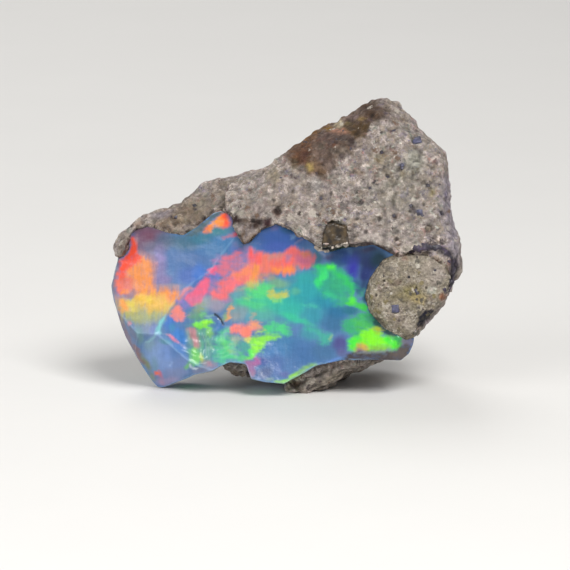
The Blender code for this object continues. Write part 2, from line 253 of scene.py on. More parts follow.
@dataclass
class Skin:
    """A closed mesh in drawing millimetres that a piece is shaped from."""

    name: str
    mesh: bpy.types.Mesh

    @classmethod
    def of_node(cls, name: str, node: str) -> "Skin":
        """Copies a CAD node's solid and merges its loose triangles.

        Args:
            name: The new piece's name.
            node: The CAD node's name.

        Returns:
            The copy, in drawing millimetres.
        """
        bm = bmesh.new()
        bm.from_mesh(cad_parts[node].data)
        bmesh.ops.transform(bm, matrix=STONE.to_drawing(), verts=bm.verts)
        bmesh.ops.remove_doubles(bm, verts=bm.verts, dist=0.004)
        return cls.of_bmesh(name, bm)

    @classmethod
    def of_bmesh(cls, name: str, bm: bmesh.types.BMesh) -> "Skin":
        """Makes a skin of a bmesh and frees it.

        Args:
            name: The new piece's name.
            bm: The bmesh, in drawing millimetres.

        Returns:
            The skin.
        """
        mesh = bpy.data.meshes.new(name)
        bm.to_mesh(mesh)
        bm.free()
        return cls(name, mesh)

    def even(self, cell: float) -> "Skin":
        """Gives the skin small even faces.

        Args:
            cell: Size of a face in millimetres.

        Returns:
            This skin.
        """
        holder = bpy.data.objects.new(self.name + "_raw", self.mesh)
        bpy.context.scene.collection.objects.link(holder)
        remesh = holder.modifiers.new("even", "REMESH")
        remesh.mode = "VOXEL"
        remesh.voxel_size = cell
        bpy.context.view_layer.update()
        graph = bpy.context.evaluated_depsgraph_get()
        self.mesh = bpy.data.meshes.new_from_object(holder.evaluated_get(graph))
        bpy.data.objects.remove(holder)
        return self

    def relax(self, times: int, back: float = 0.53) -> "Skin":
        """Smooths away the steps that even faces leave on sloping planes.

        Args:
            times: Number of passes.
            back: How far each pass swells again, which keeps thin tips from shrinking.

        Returns:
            This skin.
        """
        bm = bmesh.new()
        bm.from_mesh(self.mesh)
        for _ in range(times):
            for factor in (0.5, -back):
                bmesh.ops.smooth_vert(
                    bm, verts=bm.verts, factor=factor, use_axis_x=True, use_axis_y=True, use_axis_z=True
                )
        bm.to_mesh(self.mesh)
        bm.free()
        return self

    def tree(self) -> BVHTree:
        """A search tree of the skin's faces."""
        points = [v.co for v in self.mesh.vertices]
        return BVHTree.FromPolygons(points, [p.vertices[:] for p in self.mesh.polygons])

    def points(self) -> list[tuple[bpy.types.MeshVertex, Vector, Vector]]:
        """Every vertex with its place and normal as they are before any vertex moves."""
        return [(v, v.co.copy(), v.normal.copy()) for v in self.mesh.vertices]

    def store(self, name: str, values: Sequence[float]) -> None:
        """Keeps one number a vertex for the material to read.

        Args:
            name: The attribute's name.
            values: The numbers, in the order of the vertices.
        """
        kept = self.mesh.attributes.new(name, "FLOAT", "POINT")
        kept.data.foreach_set("value", list(values))

    def proud(self, times: int) -> list[float]:
        """How far each point stands above its smoothed surroundings, in millimetres.

        Args:
            times: Number of smoothing passes; more passes see wider forms.

        Returns:
            A height for each point, below zero in the hollows.
        """
        smoothed = Skin(self.name, self.mesh.copy()).relax(times, back=0.0)
        pairs = zip(self.mesh.vertices, smoothed.mesh.vertices)
        heights = [(point.co - level.co).dot(point.normal) for point, level in pairs]
        bpy.data.meshes.remove(smoothed.mesh)
        return heights

    def finish(self, slot: Slot, material: bpy.types.Material, *nodes: str) -> None:
        """Puts the piece in the row frame, inside the CAD box, and dresses it.

        Args:
            slot: The record's slot that its finish belongs to; not used.
            material: The material.
            *nodes: The CAD nodes it stands for.
        """
        self.mesh.transform(STONE.to_row())
        low, high = CAD_BOX
        for vertex in self.mesh.vertices:
            for axis in range(3):
                vertex.co[axis] = min(high[axis], max(low[axis], vertex.co[axis]))
        self.mesh.polygons.foreach_set("use_smooth", [True] * len(self.mesh.polygons))
        self.mesh.materials.clear()
        self.mesh.materials.append(material)
        made = bpy.data.objects.new(self.name, self.mesh)
        bpy.context.scene.collection.objects.link(made)
        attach(made, "root")
        if nodes:
            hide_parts(*nodes)
        LOG.info("%s: %d faces", self.name, len(self.mesh.polygons))


@dataclass(frozen=True)
class GasPits:
    """Small gas pits, one to a cell of the rock, with some cells left bare."""

    depth: float
    spacing: float
    floor: float  # share of the spacing that the flat floor takes, out from the middle
    rim: float
    bare: float  # share of the cells without a pit
    pick: float  # any number; another one leaves other cells bare

    def share(self, at: Vector) -> float:
        """How deep in a pit a point is.

        Args:
            at: A point in the drawing frame.

        Returns:
            A share from 0 to 1.
        """
        distances, centres = noise.voronoi(at / self.spacing)
        if noise.cell(centres[0] * self.pick) < self.bare:
            return 0.0
        return smooth_fall(distances[0], self.floor, self.rim)


@dataclass(frozen=True)
class Closing:
    """How one piece's surface grows shut on the pieces it holds, so that no clearance shows."""

    reach: float = 1.3  # a held piece starts to draw the surface in from this far
    full_pull: float = 0.5  # and pulls its hardest from this near
    near: float = 0.45  # any nearer, and the surface closes on the piece
    overlap: float = 0.05
    lean_in: float = 0.12
    ragged: Relief = Relief(0.30, 0.75, 2, 5.0)
    crumbs: float = 0.3  # share of the ragged relief that stays where the surfaces meet
    lining_and_shade_fade: tuple[float, float] = (0.12, 0.42)  # distances where the dark lining, partly painted shade, starts to thin and is gone

    def shut(self, at: Vector, moved: Vector, trees: Sequence[BVHTree]) -> tuple[Vector, float]:
        """Moves a point of the holding piece on to what it holds.

        Args:
            at: The point before any relief.
            moved: The point with its relief.
            trees: Search trees of the pieces that are held.

        Returns:
            The point's new place, and how close to a held piece it is, from 0 to 1.
        """
        lining_and_shade = 0.0
        for tree in trees:
            nearest, *_, distance = tree.find_nearest(at, self.reach)
            if nearest is None:
                continue
            lining_and_shade = max(lining_and_shade, smooth_fall(distance, *self.lining_and_shade_fade))
            toward = nearest - at
            if 1e-6 < distance < self.near:
                moved = nearest + toward.normalized() * (self.overlap + self.crumbs * self.ragged.at(at))
                continue
            toward.y = 0.0
            if toward.length > 1e-6:
                pull = smooth_fall(distance, self.full_pull, self.reach) * (self.lean_in + self.ragged.at(at))
                moved = moved + toward.normalized() * pull
        return moved, lining_and_shade


Outline = tuple[tuple[float, float], ...]


def band(width: float, *line: tuple[float, float]) -> Outline:
    """Draws a thin band along a line, pointed at both ends.

    Args:
        width: Its full width in millimetres.
        *line: The points of its middle.

    Returns:
        The band's outline.
    """
    points = [Vector(point) for point in line]
    sides = []
    for before, point, after in zip(points, points[1:], points[2:] + [points[-1]]):
        along = (after - before).normalized()
        sides.append((point, Vector((-along.y, along.x)) * 0.5 * width))
    last = points[-1]
    upper = [tuple(point + side) for point, side in sides[:-1]]
    lower = [tuple(point - side) for point, side in sides[:-1]]
    return (line[0], *upper, tuple(last), *reversed(lower))


@dataclass(frozen=True)
class Warp:
    """The face's points as one way of tearing shifts them, so that edges drawn on them are torn that way."""

    x: np.ndarray
    h: np.ndarray
    veil: np.ndarray  # streaks about zero, to about 1 either way

    @classmethod
    def of(cls, torn: Torn, points: Sequence[Vector]) -> "Warp":
        """Shifts the points.

        Args:
            torn: The way of tearing.
            points: The skin's points in the drawing frame.

        Returns:
            The shifted points.
        """
        moved = [cls.shifted(torn, point) for point in points]
        veil = [cls.streak(torn, point) for point in points]
        return cls(np.array([m[0] for m in moved]), np.array([m[1] for m in moved]), np.array(veil))

    @staticmethod
    def streak(torn: Torn, at: Vector) -> float:
        """How the veil over the colours thickens or thins at a point.

        Args:
            torn: The way of tearing.
            at: The point.

        Returns:
            A height of a streaky noise, to about 1 either way.
        """
        if torn is Torn.RIBBED:
            where = Vector((at.x / 0.30, at.y / 2.0, at.z / 1.3))
        elif torn is Torn.WISPY:
            where = Vector(((at.x - 0.5 * at.z) / 1.0, at.y / 2.0, (at.z + 0.35 * at.x) / 0.34))
        else:
            where = at / 0.5
        return noise.fractal(where, 0.6, 2.2, 4)

    @staticmethod
    def shifted(torn: Torn, at: Vector) -> tuple[float, float]:
        """Shifts one point.

        Args:
            torn: The way of tearing.
            at: The point.

        Returns:
            Its new x and h.
        """
        drift = noise.noise_vector(at / 1.3) * 0.22 + noise.noise_vector(at / 0.5) * 0.08
        x, h = at.x + drift.x, at.z + drift.z
        if torn is Torn.RIBBED:
            # Silica spheres stack in columns here, and each column ends at its own height.
            h += 0.18 * noise.fractal(Vector((at.x / 0.34, at.y / 2.0, at.z / 3.0)), 0.7, 2.2, 3)
        elif torn is Torn.WISPY:
            slope = at.z + 0.25 * at.x
            x += 0.32 * noise.fractal(Vector((at.x / 1.4, at.y / 2.0, slope / 0.36)), 0.7, 2.2, 3)
            h += 0.12 * noise.noise(at / 0.3)
        elif torn is Torn.CRUMBLED:
            loose = noise.noise_vector(at / 0.45) * 0.12 + noise.noise_vector(at / 0.22) * 0.06
            x, h = x + loose.x, h + loose.z
        return x, h


@dataclass(frozen=True)
class Cloud:
    """A soft oval of body colour in the opal."""

    colour: str
    x: float
    h: float
    half_x: float
    half_h: float
    turn: float = 0.0
    strength: float = 0.9
    torn: Torn = Torn.SOFT

    def share(self, warp: Warp) -> np.ndarray:
        """How much of the cloud's colour each point takes.

        Args:
            warp: The face's points.

        Returns:
            A share from 0 to 1 for each point.
        """
        turn = math.radians(self.turn)
        away_x, away_h = warp.x - self.x, warp.h - self.h
        along = (away_x * math.cos(turn) + away_h * math.sin(turn)) / self.half_x
        across = (away_h * math.cos(turn) - away_x * math.sin(turn)) / self.half_h
        # Full out to 0.35 of its half sizes, and gone at 1.55 of them.
        return self.strength * eased(np.clip((1.55 - np.hypot(along, across)) / 1.2, 0.0, 1.0))


@dataclass(frozen=True)
class Flash:
    """One flash of play of colour, drawn by its outline. Its edge fades over a band four times soft wide."""

    colour: str
    outline: Outline
    soft: float = 0.16
    strength: float = 0.95
    torn: Torn = Torn.WISPY

    def share(self, warp: Warp) -> np.ndarray:
        """How much of the flash's colour each point takes.

        Args:
            warp: The face's points.

        Returns:
            A share from 0 to 1 for each point.
        """
        shares = np.zeros(warp.x.shape)
        xs, hs = [p[0] for p in self.outline], [p[1] for p in self.outline]
        edge = 2.0 * self.soft
        near = (warp.x > min(xs) - edge) & (warp.x < max(xs) + edge)
        near &= (warp.h > min(hs) - edge) & (warp.h < max(hs) + edge)
        x, h = warp.x[near], warp.h[near]
        nearest = np.full(x.shape, 1e9)
        inside = np.zeros(x.shape, dtype=bool)
        for (ax, ah), (bx, bh) in zip(self.outline, self.outline[1:] + self.outline[:1]):
            ex, eh = bx - ax, (bh - ah) or 1e-9
            part = np.clip(((x - ax) * ex + (h - ah) * eh) / (ex * ex + eh * eh), 0.0, 1.0)
            nearest = np.minimum(nearest, np.hypot(x - ax - part * ex, h - ah - part * eh))
            inside ^= ((ah > h) != (bh > h)) & (x < ax + (h - ah) * ex / eh)
        # The veil frays the flash's edge and thins its colour in streaks.
        veil = warp.veil[near]
        deep = np.where(inside, nearest, -nearest) + self.soft * (0.9 * veil + 0.3)
        thin = np.clip(0.96 + 0.28 * veil, 0.45, 1.0)
        shares[near] = self.strength * thin * eased(np.clip(0.5 + 0.5 * deep / edge, 0.0, 1.0))
        return shares


Tint = Cloud | Flash


def lay_tints(skin: Skin, name: str, ground: Sequence[float], tints: Sequence[Tint], front: bool) -> None:
    """Lays tints over a ground at each point of a skin and keeps the result as a colour and its cover.

    Args:
        skin: The skin, in drawing millimetres.
        name: The attribute's name.
        ground: The colour and cover under the tints, in linear light.
        tints: The tints, in the order they are laid.
        front: Whether they fade out where the skin turns away from the face.
    """
    points = [v.co.copy() for v in skin.mesh.vertices]
    warps = {torn: Warp.of(torn, points) for torn in Torn if any(tint.torn is torn for tint in tints)}
    colours = np.tile(np.array(ground), (len(points), 1))
    for tint in tints:
        share = tint.share(warps[tint.torn])[:, None]
        colours += share * (np.array(linear(tint.colour)) - colours)
    if front:
        facing = np.array([v.normal.dot(FRONT) for v in skin.mesh.vertices])
        colours *= np.clip((facing + 0.35) / 0.35, 0.0, 1.0)[:, None]
    kept = skin.mesh.color_attributes.new(name, "FLOAT_COLOR", "POINT")
    kept.data.foreach_set("color", colours.ravel())
    LOG.info("%s: %d tints", name, len(tints))


# The body colour of the face, milky blue to navy, mauve and teal. Each cloud lies over the ones before it.
CLOUDS = (
    Cloud("#5c7cae", -9.8, 13.6, 2.8, 1.7), Cloud("#4a7ead", -6.9, 15.1, 2.2, 1.0),
    Cloud("#4cc09c", -2.6, 9.3, 3.3, 1.5, 0, 1.0), Cloud("#40b8a8", 0.6, 9.0, 1.9, 1.7, 0, 1.0),
    Cloud("#3aa4ac", 2.4, 10.6, 2.3, 1.7, 0, 1.0), Cloud("#4c84b0", 0.0, 4.9, 1.9, 1.1),
    Cloud("#4f78aa", 2.0, 4.0, 1.8, 1.5, 0, 1.0), Cloud("#3f5fa2", -0.6, 15.9, 2.8, 1.4, 0, 1.0),
    Cloud("#36486a", 7.8, 14.0, 1.4, 1.1, 0, 1.0), Cloud("#90b0de", -13.2, 3.9, 1.4, 1.7),
    Cloud("#8aa8e0", -12.2, 2.9, 1.6, 1.3), Cloud("#3c9c98", 5.0, 11.3, 1.6, 1.3),
    Cloud("#3494aa", 4.0, 9.2, 1.7, 0.9), Cloud("#34749c", 5.2, 8.2, 1.3, 0.9),
    Cloud("#409cac", 2.8, 7.8, 1.3, 1.0), Cloud("#43759c", 4.8, 7.1, 1.3, 0.8),
    Cloud("#5d5457", -15.4, 17.0, 1.3, 0.6, 0, 0.95), Cloud("#6a5a66", -13.6, 16.9, 1.7, 0.5, -8),
    Cloud("#7a5468", -14.2, 16.0, 1.7, 1.0, 0, 1.0), Cloud("#7a5c72", -15.0, 15.3, 0.7, 0.9),
    Cloud("#6c6884", -13.6, 15.0, 1.3, 0.6), Cloud("#5c6880", -12.3, 15.7, 1.3, 0.8),
    Cloud("#4c7288", -10.4, 15.5, 1.5, 0.9), Cloud("#447c92", -8.8, 15.9, 1.2, 0.6),
    Cloud("#46858f", -7.0, 16.6, 1.3, 0.5, 10), Cloud("#6078b8", -5.2, 14.7, 0.7, 0.4),
    Cloud("#5c78bc", -9.9, 11.9, 1.5, 1.0), Cloud("#4c7ccc", -8.9, 12.2, 0.7, 1.0, -30),
    Cloud("#8a80ae", -13.0, 13.2, 0.7, 1.8), Cloud("#8e82ae", -12.6, 11.5, 0.9, 0.7),
    Cloud("#a098a8", -12.2, 10.85, 1.3, 0.3), Cloud("#c0887c", -13.8, 12.8, 0.5, 1.5, 0, 0.55),
    Cloud("#b07a78", -14.6, 14.3, 0.8, 0.4, -20, 0.6), Cloud("#98a68c", -14.6, 7.5, 1.4, 0.5, 0, 0.8),
    Cloud("#8494ae", -14.1, 6.7, 1.3, 0.7), Cloud("#7a8cc8", -13.5, 6.4, 0.5, 0.7, 0, 0.7),
    Cloud("#6f9a9c", -15.1, 5.9, 0.4, 0.9, 0, 0.8), Cloud("#6a7898", -15.8, 6.2, 0.35, 1.0, 25),
    Cloud("#8ab0bc", -14.1, 4.9, 0.5, 0.6, 0, 0.6), Cloud("#7ea2e2", -12.0, 4.3, 1.2, 0.9),
    Cloud("#5c8ac8", -11.0, 4.2, 0.8, 0.8), Cloud("#5fa4b4", -12.4, 5.25, 0.7, 0.25, 0, 0.7),
    Cloud("#7e9ad2", -10.8, 3.0, 0.8, 0.9), Cloud("#8898c4", -11.4, 2.0, 1.3, 0.5, 8),
    Cloud("#a49cc0", -12.3, 1.2, 1.3, 0.4, 8), Cloud("#78a0b4", -13.6, 2.8, 0.35, 0.8, 10, 0.7),
    Cloud("#868f66", -14.5, 3.1, 0.3, 1.0, 27), Cloud("#8c988a", -13.8, 1.6, 0.3, 0.5, 30),
    Cloud("#5484d0", -12.0, 7.4, 0.6, 0.9, -25), Cloud("#4c8ad6", -11.1, 6.0, 0.8, 0.8),
    Cloud("#4f9ac0", -11.8, 6.8, 0.3, 0.3, 0, 0.6), Cloud("#4a86ce", -10.7, 5.3, 0.4, 0.7),
    Cloud("#a4b0b4", -8.5, 9.2, 0.8, 0.7), Cloud("#a49fb2", -7.1, 9.0, 0.9, 0.7),
    Cloud("#a8a0a8", -7.5, 9.6, 0.5, 0.3, 0, 0.7), Cloud("#a58cb2", -6.2, 9.5, 0.6, 0.4),
    Cloud("#7fa8b0", -8.6, 8.4, 0.6, 0.4, 0, 0.8), Cloud("#86a0aa", -4.8, 8.1, 1.0, 0.9),
    Cloud("#60a0b8", -4.0, 7.7, 0.3, 0.5, 0, 0.7), Cloud("#98a0a4", -5.2, 7.8, 0.4, 0.5, 0, 0.7),
    Cloud("#6a9cb8", -6.1, 6.0, 0.5, 0.4), Cloud("#4a7ec0", -7.1, 6.6, 0.6, 0.7),
    Cloud("#5c88ac", -7.7, 5.4, 0.5, 1.0), Cloud("#6c9c9c", -8.4, 4.2, 0.8, 1.3),
    Cloud("#66a490", -8.9, 5.6, 0.9, 1.6, 0, 0.7), Cloud("#5fb0a4", -2.4, 8.0, 1.2, 0.8, 0, 0.8),
    Cloud("#3aa6a8", 1.9, 11.8, 1.4, 0.6, 12), Cloud("#5090a8", 0.6, 11.6, 0.6, 0.3, 0, 0.7),
    Cloud("#7ab08c", -0.9, 11.2, 1.1, 0.5), Cloud("#a0a088", -1.5, 11.7, 0.5, 0.25, 0, 0.7),
    Cloud("#90989a", -2.0, 12.15, 1.1, 0.16, 0, 0.8), Cloud("#34788c", 6.6, 8.4, 0.8, 0.4),
    Cloud("#4c9caa", 2.4, 6.2, 1.0, 0.8), Cloud("#44c89c", 0.3, 7.9, 0.9, 0.3, -10, 0.8),
    Cloud("#44c8a0", 1.3, 7.4, 1.0, 0.25, -12, 0.8), Cloud("#62b898", 1.0, 10.5, 0.5, 0.4, 0, 0.7),
    Cloud("#5a88bc", -1.4, 4.2, 1.0, 0.7), Cloud("#5a78ae", -1.2, 3.1, 0.9, 0.8),
    Cloud("#5468a4", -2.3, 3.2, 0.5, 0.5), Cloud("#6680b8", -0.9, 2.3, 0.4, 0.7, 0, 0.7),
    Cloud("#66749c", -2.2, 2.0, 0.9, 0.6), Cloud("#6a74aa", -0.2, 1.9, 0.5, 0.4, 0, 0.8),
    Cloud("#4d769e", 3.9, 4.3, 1.3, 1.1), Cloud("#7f9c98", -1.6, 1.35, 0.5, 0.2, 0, 0.7),
    Cloud("#4a62ae", -1.0, 15.0, 1.6, 0.5, 0, 0.8), Cloud("#2f5a80", 0.2, 16.8, 0.8, 0.4, 0, 0.8),
    Cloud("#48788c", 3.2, 14.0, 0.5, 0.6, 0, 0.8), Cloud("#4a8688", 2.8, 13.4, 0.5, 0.4, 0, 0.6),
    Cloud("#58587c", 4.6, 14.1, 0.8, 0.35), Cloud("#2c4c84", 5.7, 14.4, 0.8, 0.35),
    Cloud("#3c6488", 5.5, 13.4, 0.8, 0.7, -40), Cloud("#33507e", 5.4, 14.0, 0.9, 0.8),
    Cloud("#32488c", 6.3, 13.8, 0.7, 0.6), Cloud("#2e3a62", 8.6, 13.0, 1.1, 1.2, 0, 1.0),
    Cloud("#3a4096", 6.8, 13.0, 0.6, 1.4, -18, 0.8), Cloud("#3c3aa8", 6.95, 12.4, 0.45, 0.9, -10, 0.8),
    Cloud("#323f74", 8.1, 12.0, 0.7, 0.8, 0, 1.0), Cloud("#334c70", 8.1, 11.0, 0.5, 0.6),
    Cloud("#3c3c54", 8.6, 14.7, 0.8, 0.3, 0, 0.8), Cloud("#263c4a", 9.6, 13.7, 0.9, 1.0, 0, 1.0),
    Cloud("#34607f", 7.2, 11.1, 0.5, 0.6), Cloud("#366a7c", 7.6, 10.5, 0.4, 0.4),
    Cloud("#2c5a68", 8.2, 9.8, 0.35, 0.5), Cloud("#2c5a54", 9.4, 7.3, 0.9, 0.7, -45, 1.0),
    Cloud("#2e4648", 10.6, 6.3, 1.3, 0.55, -38, 1.0), Cloud("#54548c", 5.5, 5.1, 0.8, 0.8),
    Cloud("#5c5a96", 5.6, 4.9, 0.6, 0.8, 0, 0.4), Cloud("#6a5a84", 5.9, 4.1, 0.7, 0.35, 0, 0.5),
)  # fmt: skip

